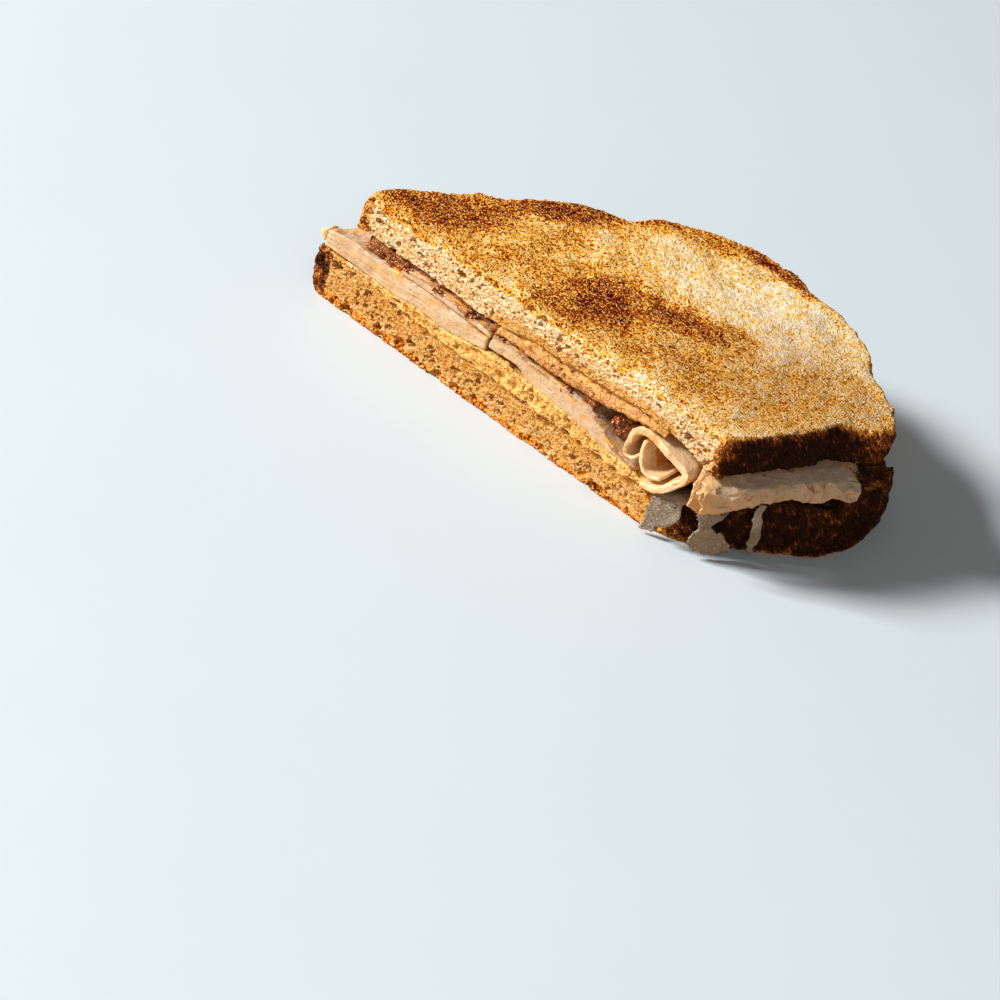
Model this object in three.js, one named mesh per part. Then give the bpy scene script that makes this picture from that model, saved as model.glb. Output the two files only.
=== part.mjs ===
// Half of a toasted turkey and cheese sandwich, lying flat, with its cut face towards -Y.
// Millimetres, +Z up. The shapes are laid out from the cut: x runs along it from the left cut
// corner of the top slice, y runs back from the cut face and z is the height over the table.
// The finished group is moved so that its origin is the middle of its footprint.
import * as THREE from "three";

// Driving dimensions.
const SLICE = 12.5; // thickness of a slice of bread
const FILLING = 13.2; // height of the filling at the cut
const HEIGHT = 2 * SLICE + FILLING;
const UPPER_CUT = 125.7; // length of the cut edge of the top slice
const LOWER_CUT = 121.1; // length of the cut edge of the lower slice
const LOWER_SHIFT = -10.4; // how far the lower slice has slid to the left
const GAP = 0.3; // clearance between neighbouring pieces
const CRUST_ROUNDING = 1.3; // how far the crust's edges draw in
const CRUST_BULGE = 0.5; // unevenness of the crust
const SURFACE_WAVE = 0.35; // unevenness of the toasted faces
const CUT_RELIEF = 0.35; // unevenness of the cut faces

// Crust lines, from the left cut corner round the back to the right cut corner.
const UPPER_CRUST = [
  [0, 0], [-1.2, 5.5], [2.4, 14], [8.3, 19.3], [15.2, 30], [20.4, 34.4], [24.7, 41.5],
  [29.7, 49.4], [36.9, 56], [43.5, 59], [45.9, 61.5], [47.2, 65.8], [54, 72.4], [62.6, 78],
  [72.6, 81.9], [82.6, 83], [91, 81.6], [96, 78.6], [108.3, 77.8], [117.2, 73.7], [123.8, 69.3],
  [128.3, 62.8], [134.6, 59.2], [141.4, 54.8], [147.4, 46.6], [143.2, 38.4], [138.6, 33.4],
  [137.8, 27], [132.4, 14], [UPPER_CUT, 0],
];
const LOWER_CRUST = [
  [LOWER_SHIFT, 0], [-11.4, 4], [-3.6, 18.6], [7.4, 33.2], [23.2, 48.8], [41.6, 63.4],
  [60, 75], [78, 81.4], [98, 82.4], [118, 79], [134, 73.6], [143, 65.5], [148, 55], [149, 43],
  [145.6, 30.4], [135.4, 19], [125.2, 6.4], [LOWER_SHIFT + LOWER_CUT, 0],
];

// How far back the filling reaches, as y over x.
const FILLING_BACK = along([
  [-8, 3], [0, 11], [8, 18], [30, 42], [46, 57], [60, 67], [77, 73.5], [92, 74],
  [112, 68], [124, 60], [132, 52], [138, 47],
]);

// Heights of the layers at the cut, as z over x.
const LOWER_TOP = along([
  [-10, 14.6], [4, 14.8], [13, 13.7], [21, 12.8], [45, 11.9], [75, 11.4], [110, 11.3],
  [128, 12.1], [147, 12.5],
]);
const LEFT_FLOOR = along([[-10, 15.5], [4, 15.5], [16, 15.2], [27, 15.9], [36, 15.4], [50, 17.6]]);
const RIGHT_FLOOR = along([
  [50, 19.3], [61, 19.2], [64.5, 17.2], [75, 16.3], [86, 15.2], [95, 13.7], [105, 12.6],
  [112, 12.2], [125, 12.7], [140, 13],
]);
const CHEESE_TOP = along([
  [7, 15.1], [16, 14.8], [27, 15.5], [36, 15], [50, 17], [57, 17.3], [62, 16.9], [66, 16.5],
  [75, 15.9], [86, 14.8], [95, 13.3], [105, 12.2], [110, 11.9],
]);
const LEFT_TOP = along([[-10, 20.6], [-3, 21.6], [17, 21.9], [30, 22.2], [40, 21.8], [50, 21.2]]);
const STACK_TOP = along([
  [-10, 20.6], [-3, 21.6], [15.5, 21.9], [18.5, 24], [24, 25], [29, 25.1], [36, 24.7],
  [43, 23.8], [50, 23.2], [56, 24.1], [63, 22.9], [77, 22.2], [86, 21], [90, 19.6],
  [93, 17.6], [96, 15.9], [100, 14.7], [105, 13.6], [112, 13.4],
]);
const CUT_CEILING = along([
  [-10, 25.6], [8, 26.4], [17, 26], [25, 26.5], [35, 26.2], [43, 25.6], [50, 25.2],
  [60, 25.3], [70, 24.9], [81, 25.4], [90, 26.2], [99, 27.8], [105, 28.4], [112, 28.2],
  [118, 27.2], [122, 26], [127, 25.8], [147, 25.7],
]);
const CUT_FILM = along([
  [50, 0.5], [56, 1.5], [64, 3.1], [84, 3.3], [98, 2.2], [106, 1], [112, 0.6],
]);

// Where the right-hand turkey begins behind the roll, as y over x, and how far right it reaches.
const CURL_DEPTH = 9.5;
const TURKEY_RIGHT = 136;
const TURKEY_FRONT = along([
  [50, 0], [103.5, 0], [106, CURL_DEPTH + 1.5], [121, CURL_DEPTH + 2], [130, 25.5],
  [TURKEY_RIGHT, 36],
]);
const RIM_RISE = 3.8; // how far the lower slice's crust stands up beyond it

// Smooth height along x through a few [x, height] points.
function along(points) {
  const slope = (i) => {
    const before = points[Math.max(i - 1, 0)];
    const after = points[Math.min(i + 1, points.length - 1)];
    return (after[1] - before[1]) / (after[0] - before[0]);
  };
  return (x) => {
    let i = 0;
    while (i < points.length - 2 && x > points[i + 1][0]) i++;
    const [x0, z0] = points[i];
    const [x1, z1] = points[i + 1];
    const t = THREE.MathUtils.clamp((x - x0) / (x1 - x0), 0, 1);
    const run = x1 - x0;
    const t2 = t * t;
    const t3 = t2 * t;
    return (
      (2 * t3 - 3 * t2 + 1) * z0 +
      (t3 - 2 * t2 + t) * run * slope(i) +
      (3 * t2 - 2 * t3) * z1 +
      (t3 - t2) * run * slope(i + 1)
    );
  };
}

const { lerp, smoothstep } = THREE.MathUtils;

// A gentle unevenness between -1 and 1 over two coordinates.
function wave(a, b) {
  return (
    0.5 * Math.sin(0.21 * a + 0.13 * b + 1.3) +
    0.3 * Math.sin(0.17 * b - 0.34 * a + 0.4) +
    0.2 * Math.sin(0.61 * a + 0.53 * b)
  );
}

// Height of the underside of whatever lies on the filling: lifted at the cut, even further in.
function ceiling(x, y) {
  return lerp(CUT_CEILING(x), 26, smoothstep(y, 8, 40));
}

// Thickness of the cheese that has melted into the underside of the top slice.
// Its recess in the slice is a little wider than the cheese.
const FILM = { left: 52, right: 109, back: 28, inside: 0.8, margin: 7.5, fade: 4 };
function filmThickness(x, y) {
  const thickness = lerp(CUT_FILM(x), FILM.inside, smoothstep(y, 1, 10));
  const beyond = Math.max(FILM.left - x, x - FILM.right, y - FILM.back);
  return thickness * (1 - smoothstep(beyond, FILM.margin, FILM.margin + FILM.fade));
}

// Top of the stacked turkey: as it shows at the cut, rising to carry the top slice further in.
const RISE_START = along([[0, 2.5], [86, 3], [93, 10.8], [120, 10.8], [138, 10.8]]);
const RISE_LENGTH = 8;
function stackTop(x, y) {
  const carrying = ceiling(x, y) - 2 * GAP - 0.8;
  const start = RISE_START(x);
  return lerp(STACK_TOP(x), carrying, smoothstep(y, start, start + RISE_LENGTH));
}

// A geometry from points and polygons, turned so that its faces point outwards.
function closedGeometry(points, polygons) {
  const triangles = [];
  for (const [first, ...rest] of polygons)
    for (let i = 0; i + 1 < rest.length; i++) triangles.push([first, rest[i], rest[i + 1]]);
  const cross = new THREE.Vector3();
  let volume = 0;
  for (const [a, b, c] of triangles)
    volume += points[a].dot(cross.crossVectors(points[b], points[c]));
  if (volume < 0) triangles.forEach((t) => t.reverse());
  const geometry = new THREE.BufferGeometry().setFromPoints(points);
  geometry.setIndex(triangles.flat());
  geometry.computeVertexNormals();
  return geometry;
}

// A closed solid between two faces, each a function of u and v that gives a point.
function solidBetween(front, back, uSteps, vSteps) {
  const points = [];
  for (const face of [front, back])
    for (let i = 0; i <= uSteps; i++)
      for (let j = 0; j <= vSteps; j++) points.push(face(i / uSteps, j / vSteps));
  const other = (uSteps + 1) * (vSteps + 1);
  const at = (i, j) => i * (vSteps + 1) + j;
  const polygons = [];
  for (let i = 0; i < uSteps; i++)
    for (let j = 0; j < vSteps; j++) {
      const quad = [at(i, j), at(i + 1, j), at(i + 1, j + 1), at(i, j + 1)];
      polygons.push(quad, [quad[0], quad[3], quad[2], quad[1]].map((k) => k + other));
    }
  const rim = [];
  for (let i = 0; i < uSteps; i++) rim.push(at(i, 0));
  for (let j = 0; j < vSteps; j++) rim.push(at(uSteps, j));
  for (let i = uSteps; i > 0; i--) rim.push(at(i, vSteps));
  for (let j = vSteps; j > 0; j--) rim.push(at(0, j));
  rim.forEach((a, k) => {
    const b = rim[(k + 1) % rim.length];
    polygons.push([b, a, a + other, b + other]);
  });
  return closedGeometry(points, polygons);
}

// A layer of the filling between two heights. front and back give y over x, and the rows of
// points lie closer together near the cut.
const ROW_SPACING = 1.7;
function layer({ left, right, front, back, floor, top }, uSteps, vSteps) {
  const place = (height) => (u, v) => {
    const x = lerp(left, right, u);
    const y = lerp(front(x), back(x), Math.pow(v, ROW_SPACING));
    return new THREE.Vector3(x, y, height(x, y));
  };
  return solidBetween(place(top), place(floor), uSteps, vSteps);
}

// A thin wavy solid around a surface of u and v, with its thickness set square to it.
function leaf(surface, thickness, uSteps, vSteps) {
  const step = 1e-3;
  const side = (sign) => (u, v) => {
    const du = surface(Math.min(u + step, 1), v).sub(surface(Math.max(u - step, 0), v));
    const dv = surface(u, Math.min(v + step, 1)).sub(surface(u, Math.max(v - step, 0)));
    const normal = du.cross(dv).normalize();
    return surface(u, v).addScaledVector(normal, (sign * thickness(u, v)) / 2);
  };
  return solidBetween(side(1), side(-1), uSteps, vSteps);
}

// A smooth line through [x, y, z] points, as a function of t from 0 to 1.
function line(points) {
  const vectors = points.map(([x, y, z]) => new THREE.Vector3(x, y, z));
  const curve = new THREE.CatmullRomCurve3(vectors, false, "centripetal");
  curve.arcLengthDivisions = 400;
  return (t) => curve.getPointAt(t);
}

// A surface that follows one line after another: u runs along them and v from the first to the last.
function across(...lines) {
  return (u, v) => {
    const here = new THREE.CatmullRomCurve3(lines.map((l) => l(u)), false, "centripetal");
    return here.getPoint(v);
  };
}

// A slice of bread: a sharp cut face, a rounded crust and two nearly flat faces.
const CRUST_STEPS = 60; // the most there are, a whole number between two points of the line
const CUT_STEPS = 22;
const SIDE_LEVELS = [0, 0.12, 0.36, 0.64, 0.88, 1];
const FACE_SHARES = [0.95, 0.9, 0.8, 0.58, 0.3];
function breadSlice(crustPoints, floor, top) {
  const flat = crustPoints.map(([x, y]) => new THREE.Vector3(x, y, 0));
  const curve = new THREE.CatmullRomCurve3(flat, false, "centripetal");
  const spans = crustPoints.length - 1;
  const steps = spans * Math.floor(CRUST_STEPS / spans);
  const crust = curve.getPoints(steps);
  const outline = crust.map((p, i) => {
    const before = crust[Math.max(i - 1, 0)];
    const after = crust[Math.min(i + 1, steps)];
    const outward = new THREE.Vector3(before.y - after.y, after.x - before.x, 0).normalize();
    const corner = Math.min(i, steps - i) / 3; // the rounding fades out at the cut
    return { p, outward, rounding: Math.min(corner, 1) };
  });
  const [leftCorner, rightCorner] = [crust[0], crust[steps]];
  for (let i = 1; i < CUT_STEPS; i++) {
    const p = rightCorner.clone().lerp(leftCorner, i / CUT_STEPS);
    outline.push({ p, outward: new THREE.Vector3(0, -1, 0), rounding: 0 });
  }
  const hub = leftCorner.clone().lerp(rightCorner, 0.5).add(new THREE.Vector3(4, 33, 0));

  const rings = [];
  const faceRing = (share, height) =>
    outline.map(({ p }) => {
      const q = hub.clone().lerp(p, share);
      return q.setZ(height(q.x, q.y));
    });
  FACE_SHARES.toReversed().forEach((share) => rings.push(faceRing(share, floor)));
  for (const level of SIDE_LEVELS)
    rings.push(
      outline.map(({ p, outward, rounding }) => {
        const z = lerp(floor(p.x, p.y), top(p.x, p.y), level);
        const drawnIn = CRUST_ROUNDING * Math.pow(Math.abs(2 * level - 1), 3);
        const bulge = CRUST_BULGE * wave(1.7 * (p.x + p.y), 3 * z);
        const relief = CUT_RELIEF * wave(1.9 * p.x, 4 * z);
        const out = rounding > 0 ? rounding * (bulge - drawnIn) : relief - CUT_RELIEF;
        return p.clone().addScaledVector(outward, out).setZ(z);
      }),
    );
  FACE_SHARES.forEach((share) => rings.push(faceRing(share, top)));

  const count = outline.length;
  const points = rings.flat();
  const polygons = [];
  for (let r = 0; r + 1 < rings.length; r++)
    for (let i = 0; i < count; i++) {
      const next = (i + 1) % count;
      const low = r * count;
      const high = low + count;
      polygons.push([low + i, low + next, high + next, high + i]);
    }
  const lowHub = points.push(hub.clone().setZ(floor(hub.x, hub.y))) - 1;
  const highHub = points.push(hub.clone().setZ(top(hub.x, hub.y))) - 1;
  const lastRing = (rings.length - 1) * count;
  for (let i = 0; i < count; i++) {
    const next = (i + 1) % count;
    polygons.push([lowHub, next, i], [highHub, lastRing + i, lastRing + next]);
  }
  return closedGeometry(points, polygons);
}

// The lower slice, whose crust stands up beyond the turkey at its right end.
function lowerBread() {
  const beyondTurkey = (x, y) => Math.max(TURKEY_FRONT(x) - y, x - TURKEY_RIGHT);
  const rise = (x, y) =>
    RIM_RISE * smoothstep(x, 124, 131) * smoothstep(beyondTurkey(x, y), 4.5, 8.5);
  return breadSlice(LOWER_CRUST, () => 0, (x, y) => LOWER_TOP(x) + rise(x, y));
}

function upperBread() {
  const floor = (x, y) => ceiling(x, y) + filmThickness(x, y) + 1.8 * GAP;
  const top = (x, y) => HEIGHT + SURFACE_WAVE * (wave(0.6 * x, 0.7 * y) - 0.6);
  return breadSlice(UPPER_CRUST, floor, top);
}

// Yellow cheese melted over the lower slice, with an uneven lip at the cut.
function meltedCheese() {
  return layer(
    {
      left: 7.5,
      right: 108,
      front: (x) => -0.35 + 0.35 * wave(2.6 * x, 0),
      back: (x) => FILLING_BACK(x) - 5 - 2 * wave(x, 3),
      floor: (x) => LOWER_TOP(x) + GAP,
      top: (x) => CHEESE_TOP(x),
    },
    30,
    7,
  );
}

// Lowest pile of turkey, left of the middle. It reaches past the top slice.
function leftTurkey() {
  return layer(
    {
      left: -8.5,
      right: 49.8,
      front: (x) => 0.2 * wave(2 * x, 5),
      back: (x) => FILLING_BACK(x) - 1 - wave(x, 9),
      floor: (x) => LEFT_FLOOR(x),
      top: (x, y) => lerp(stackTop(x, y), LEFT_TOP(x), smoothstep(x, 8, 13)),
    },
    20,
    7,
  );
}

// Folded turkey on top of the left pile.
function middleTurkey() {
  return layer(
    {
      left: 17,
      right: 50.2,
      front: (x) => 0.1 + 0.2 * wave(2 * x, 1),
      back: (x) => FILLING_BACK(x) - 2.5 - wave(x, 4),
      floor: (x) => LEFT_TOP(x) + GAP,
      top: stackTop,
    },
    14,
    8,
  );
}

// Turkey on the right, which sinks towards the right at the cut and runs on behind the curl.
const FLAP_ROOM = { depth: 2.6, start: 9, end: 14 }; // sunk where the flap lies on it
const LEAST_TURKEY = 1;
function rightTurkey() {
  const front = TURKEY_FRONT;
  const flapRoom = (x, y) =>
    smoothstep(x, 106, 112) * (1 - smoothstep(y - front(x), FLAP_ROOM.start, FLAP_ROOM.end));
  return layer(
    {
      left: 50.8,
      right: TURKEY_RIGHT,
      front: (x) => Math.max(front(x), 0) + 0.15 * (1 + wave(2 * x, 7)),
      back: (x) => FILLING_BACK(x) - 1.5 - wave(x, 6),
      floor: (x) => RIGHT_FLOOR(x),
      top: (x, y) =>
        Math.max(stackTop(x, y) - FLAP_ROOM.depth * flapRoom(x, y), RIGHT_FLOOR(x) + LEAST_TURKEY),
    },
    36,
    9,
  );
}

// Red-brown relish spread between the turkey and the top slice, a little behind the cut.
function relishLayer() {
  return layer(
    {
      left: 4,
      right: 86,
      front: (x) => 1.6 + 0.8 * wave(1.6 * x, 2),
      back: (x) => Math.min(FILLING_BACK(x) - 8, 46),
      floor: (x, y) => stackTop(x, y) + GAP,
      top: (x, y) => ceiling(x, y) - GAP,
    },
    26,
    7,
  );
}

// The lump of relish that fills the corner left of the curl.
function relishHeap() {
  const centre = new THREE.Vector3(94.4, 4.6, 21.6);
  const size = new THREE.Vector3(3.2, 4.2, 4);
  const ball = new THREE.IcosahedronGeometry(1, 3);
  const seen = new Map();
  const points = [];
  const corners = [];
  const position = ball.getAttribute("position");
  for (let i = 0; i < position.count; i++) {
    const p = new THREE.Vector3().fromBufferAttribute(position, i);
    const key = p.toArray().map((n) => n.toFixed(4)).join();
    if (!seen.has(key)) {
      const grain = 1 + 0.1 * Math.sin(7 * p.x + 2) * Math.sin(8 * p.y + 1) * Math.sin(6 * p.z);
      seen.set(key, points.push(p.multiplyScalar(grain).multiply(size).add(centre)) - 1);
    }
    corners.push(seen.get(key));
  }
  const polygons = [];
  for (let i = 0; i < corners.length; i += 3) polygons.push(corners.slice(i, i + 3));
  return closedGeometry(points, polygons);
}

// Pale cheese melted under the top slice, thick where it shows at the cut.
function cheeseFilm() {
  return layer(
    {
      left: FILM.left,
      right: FILM.right,
      front: (x) => -0.1 + 0.2 * wave(2 * x, 8),
      back: () => FILM.back,
      floor: ceiling,
      top: (x, y) => ceiling(x, y) + filmThickness(x, y),
    },
    20,
    6,
  );
}

// The rolled end of a slice of turkey. Its lower wall reaches further out than its upper one.
function turkeyCurl() {
  const roll = line([
    [103.4, 0, 18.5], [101.8, 0, 16.5], [99.5, 0, 16.5], [99, 0, 18.7], [99.9, 0, 21.6],
    [100.5, 0, 24.3], [103, 0, 25.8], [107, 0, 25.7], [112, 0, 24.7], [116.6, 0, 23.2],
    [118.9, 0, 21.5], [116.9, 0, 18.4], [113.6, 0, 15.2], [110.4, 0, 13.5], [107.4, 0, 13],
  ]);
  const surface = (u, v) => {
    const p = roll(u);
    const front = -0.6 - 2.4 * smoothstep(u, 0.55, 0.9) + 0.4 * Math.sin(21 * u);
    return p.setY(lerp(front, CURL_DEPTH, v));
  };
  const thickness = (u) => lerp(0.9, 2, smoothstep(u, 0.08, 0.3)) - 0.6 * smoothstep(u, 0.8, 1);
  return leaf(surface, thickness, 44, 3);
}

// The fold of turkey inside the roll.
function curlFold() {
  const fold = line([
    [104.2, 0, 23.6], [104.4, 0, 20.6], [105.2, 0, 17.6], [107.4, 0, 15.8], [110.2, 0, 16.2],
    [112.4, 0, 17.4],
  ]);
  const surface = (u, v) => fold(u).setY(lerp(-0.4 - 1.6 * u, CURL_DEPTH - 1, v));
  return leaf(surface, (u) => 1.5 - 0.6 * u, 14, 3);
}

// A slice of turkey that hangs out along the crust, under the overhang of the top slice.
function turkeyFlap() {
  const inner = line([
    [117.5, 11.6, 24.6], [121.5, 12.4, 24.6], [126, 20, 24.6], [131, 31, 24.6], [136.5, 40, 24.4],
  ]);
  const edge = line([
    [122.8, -2.4, 23.6], [126.6, 0.4, 23.7], [133.2, 9.6, 23.8], [137.2, 20, 23.6],
    [142.6, 32.2, 23.4], [147, 38.8, 22.4],
  ]);
  const hem = line([
    [123.6, -4.4, 17.2], [126.6, -1, 15.8], [133.4, 8.4, 18.8], [137.4, 18, 19.6],
    [142.4, 28.6, 18.2], [144.4, 32.4, 19.4], [147.4, 37.4, 17],
  ]);
  const bulge = (u) => edge(u).lerp(hem(u), 0.5).add(new THREE.Vector3(0.5, -0.4, 0.2));
  return leaf(across(inner, edge, bulge, hem), (u, v) => 1.3 - 0.5 * v, 28, 6);
}

// The folded corner of turkey between the roll and the flap.
function turkeyFold() {
  const top = line([[121, 2.8, 22], [121.8, 1.6, 22.6], [122.8, 0.4, 22.4]]);
  const foot = line([[120.8, 2.6, 16], [121.6, 1, 15.6], [122.8, -0.6, 15.8]]);
  return leaf(across(top, foot), () => 0.8, 4, 4);
}

// A ragged lower end: u goes round once and the depth varies.
function ragged(u, depth) {
  return depth * (0.5 * Math.sin(9 * u + 1) + 0.5 * Math.sin(17 * u));
}

// A thin torn sheet of turkey that hangs down over the crust at the cut corner.
function turkeySheet() {
  const inner = line([[112.8, 8, 12.4], [116, 8.4, 12.8], [119.4, 9.4, 13.4]]);
  const edge = line([[112, -1.8, 12.3], [115.8, -0.5, 13.2], [120, 1.4, 14.4]]);
  const hem = (u) =>
    line([[112.6, -3, 9.2], [115.4, -2, 5.4], [117.4, -1.2, 5], [120.4, 0, 9.2]])(u).add(
      new THREE.Vector3(0, 0, ragged(u, 0.5)),
    );
  return leaf(across(inner, edge, hem), () => 0.6, 10, 7);
}

// A torn flake that hangs by a shred from under the flap, down to the foot of the crust.
function turkeyFlake() {
  const shreds = line([[122.4, 4.6, 14.6], [125.5, 6, 14.8], [129, 10, 14.8]]);
  const bend = line([[123.6, 1.2, 13.6], [126.2, 2.6, 13.9], [129.4, 6, 13.6]]);
  const neck = line([[125.6, 2, 9.8], [126.6, 2.8, 10], [127.8, 4.2, 10]]);
  const wide = line([[124.8, 1, 5], [128, 4.6, 5.2], [131.8, 9.6, 5.4]]);
  const hem = (u) =>
    line([[126, 1.8, 2], [128.6, 4.8, 1.6], [132, 9.8, 2.2]])(u).add(
      new THREE.Vector3(0, 0, ragged(u, 0.7)),
    );
  return leaf(across(shreds, bend, neck, wide, hem), () => 0.6, 8, 12);
}

// A narrow strip of turkey that hangs down the crust further back.
function turkeyStrip() {
  const left = line([[133.2, 14.6, 17.4], [133.6, 13.8, 14], [134, 13.8, 9], [134.6, 14.6, 2.2]]);
  const right = line([[134.8, 16, 17.4], [135.2, 15, 14], [136, 15.8, 9], [135.4, 15.4, 1.8]]);
  return leaf((v, u) => left(v).lerp(right(v), u), () => 0.6, 12, 2);
}

// A small scrap of turkey stuck to the cut corner of the lower slice.
function turkeyScrap() {
  const top = line([[111.4, -1.4, 7.6], [112.6, -1, 7.8]]);
  const middle = line([[111.6, -1.9, 4.6], [114.4, -0.7, 4.8]]);
  const hem = line([[111.2, -2.3, 1.6], [113, -1.4, 1], [115.6, -0.4, 1.8]]);
  return leaf(across(top, middle, hem), () => 0.7, 8, 6);
}

// The thin edge of a slice that stands out at the left end.
function turkeyTip() {
  const inner = line([[-8.9, 4.2, 17.8], [-8.9, 4.4, 20.8]]);
  const outer = line([[-8.9, 0.4, 17], [-9, 0.4, 21]]);
  const end = line([[-10.4, 0, 18.6], [-10.4, 0, 20.2]]);
  return leaf(across(inner, outer, end), () => 0.5, 4, 8);
}

function material(color, roughness) {
  return new THREE.MeshStandardMaterial({ color, roughness, metalness: 0 });
}

const toast = material(0xc98f45, 0.85);
const turkey = material(0xe2c0a0, 0.5);
const yellowCheese = material(0xd9a63a, 0.45);
const paleCheese = material(0xe0bd85, 0.4);
const relish = material(0x7a3315, 0.45);

const PIECES = [
  ["bread_lower", lowerBread(), toast],
  ["cheese_melted", meltedCheese(), yellowCheese],
  ["turkey_left", leftTurkey(), turkey],
  ["turkey_middle", middleTurkey(), turkey],
  ["turkey_right", rightTurkey(), turkey],
  ["turkey_curl", turkeyCurl(), turkey],
  ["turkey_curl_fold", curlFold(), turkey],
  ["turkey_flap", turkeyFlap(), turkey],
  ["turkey_fold", turkeyFold(), turkey],
  ["turkey_sheet", turkeySheet(), turkey],
  ["turkey_flake", turkeyFlake(), turkey],
  ["turkey_strip", turkeyStrip(), turkey],
  ["turkey_scrap", turkeyScrap(), turkey],
  ["turkey_tip", turkeyTip(), turkey],
  ["relish_layer", relishLayer(), relish],
  ["relish_heap", relishHeap(), relish],
  ["cheese_film", cheeseFilm(), paleCheese],
  ["bread_upper", upperBread(), toast],
];

const sandwich = new THREE.Group();
for (const [name, geometry, finish] of PIECES) {
  const mesh = new THREE.Mesh(geometry, finish);
  mesh.name = name;
  sandwich.add(mesh);
}
const extent = new THREE.Box3().setFromObject(sandwich);
const middle = extent.getCenter(new THREE.Vector3());
sandwich.position.set(-middle.x, -middle.y, -extent.min.z);

export default sandwich;
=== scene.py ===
"""The looks of a turkey melt sandwich half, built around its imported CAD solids.

Lengths are millimetres in the cut's own frame: X runs along the cut edge from the upper slice's left
corner, Y goes back from the cut face and Z is up. Pieces are written to Blender in metres.
"""

import logging
import math
from dataclasses import dataclass, field
from enum import Enum
from typing import Callable, Sequence

import bpy
import numpy as np
from mathutils import Matrix, Vector
from mathutils.bvhtree import BVHTree
from mathutils.kdtree import KDTree

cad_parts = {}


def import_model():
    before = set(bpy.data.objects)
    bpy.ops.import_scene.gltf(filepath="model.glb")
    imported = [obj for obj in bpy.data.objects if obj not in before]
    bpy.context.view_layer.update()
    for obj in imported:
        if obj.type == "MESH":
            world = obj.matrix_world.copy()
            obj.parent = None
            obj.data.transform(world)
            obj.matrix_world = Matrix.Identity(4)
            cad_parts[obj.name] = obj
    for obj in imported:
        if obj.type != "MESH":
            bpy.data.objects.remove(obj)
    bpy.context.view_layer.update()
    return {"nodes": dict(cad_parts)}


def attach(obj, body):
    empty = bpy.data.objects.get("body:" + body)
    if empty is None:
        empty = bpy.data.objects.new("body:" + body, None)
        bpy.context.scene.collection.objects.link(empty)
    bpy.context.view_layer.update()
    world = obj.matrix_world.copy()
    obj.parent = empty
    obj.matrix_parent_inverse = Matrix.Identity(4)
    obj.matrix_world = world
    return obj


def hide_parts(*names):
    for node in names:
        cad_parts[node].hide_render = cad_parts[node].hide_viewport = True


Array = np.ndarray
Object = bpy.types.Object
Material = bpy.types.Material
Socket = bpy.types.NodeSocket
Pair = tuple[float, float]
Triple = tuple[float, float, float]
Stops = tuple[tuple[float, Triple], ...]

MM = 0.001
CUT_CORNER = np.array([-68.641, -39.238, 0.0])
LOG = logging.getLogger("sandwich")

UPPER_CRUST = [
    (0, 0), (-1.2, 5.5), (2.4, 14), (8.3, 19.3), (15.2, 30), (20.4, 34.4), (24.7, 41.5), (29.7, 49.4),
    (36.9, 56), (43.5, 59), (45.9, 61.5), (47.2, 65.8), (54, 72.4), (62.6, 78), (72.6, 81.9), (82.6, 83),
    (91, 81.6), (96, 78.6), (108.3, 77.8), (117.2, 73.7), (123.8, 69.3), (128.3, 62.8), (134.6, 59.2),
    (141.4, 54.8), (147.4, 46.6), (143.2, 38.4), (138.6, 33.4), (137.8, 27), (132.4, 14), (125.7, 0),
]
LOWER_CRUST = [
    (-10.4, 0), (-11.4, 4), (-3.6, 18.6), (7.4, 33.2), (23.2, 48.8), (41.6, 63.4), (60, 75), (78, 81.4),
    (98, 82.4), (118, 79), (134, 73.6), (143, 65.5), (148, 55), (149, 43), (145.6, 30.4), (135.4, 19),
    (125.2, 6.4), (110.7, 0),
]


class Side(Enum):
    """The side of a slice that faces out and is toasted."""

    TOP = "top"
    UNDER = "under"


def smoothstep(low: float | Array, high: float | Array, values: Array) -> Array:
    """A soft step from 0 at low to 1 at high."""
    t = np.clip((values - low) / (high - low), 0.0, 1.0)
    return t * t * (3.0 - 2.0 * t)


def fading(distances: Array, reach: float) -> Array:
    """1 at no distance or less, and less and less beyond."""
    return np.exp(-np.maximum(distances, 0.0) / reach)


def rounding(u: Array, v: Array) -> Array:
    """How much of a corner goes, where u and v grow from 0 inside it to 1 on its two faces."""
    return np.maximum(0.0, 1.0 - 1.0 / np.maximum(np.hypot(u, v), 1.0)) * ((u > 0) & (v > 0))


def rows(*columns: Array | float) -> Array:
    """Points from their coordinates, one row each."""
    return np.column_stack(np.broadcast_arrays(*columns))


def tone(red: int, green: int, blue: int) -> Triple:
    """A colour in linear light, from its screen values up to 255."""
    parts = (part / 255.0 for part in (red, green, blue))
    return tuple(part / 12.92 if part <= 0.04045 else ((part + 0.055) / 1.055) ** 2.4 for part in parts)


def metres(points: Array) -> Array:
    """Points of the cut's frame in millimetres, as places in the model in metres."""
    return (points + CUT_CORNER) * MM


def place(x: float, y: float, z: float) -> Vector:
    """One point of the cut's frame in millimetres, as a place in the model in metres."""
    return Vector(metres(np.array([x, y, z])))


def surface_of(node: Object) -> BVHTree:
    """A CAD node's surface, for rays and nearest points."""
    mesh = node.data
    return BVHTree.FromPolygons([v.co for v in mesh.vertices], [p.vertices for p in mesh.polygons])


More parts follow.
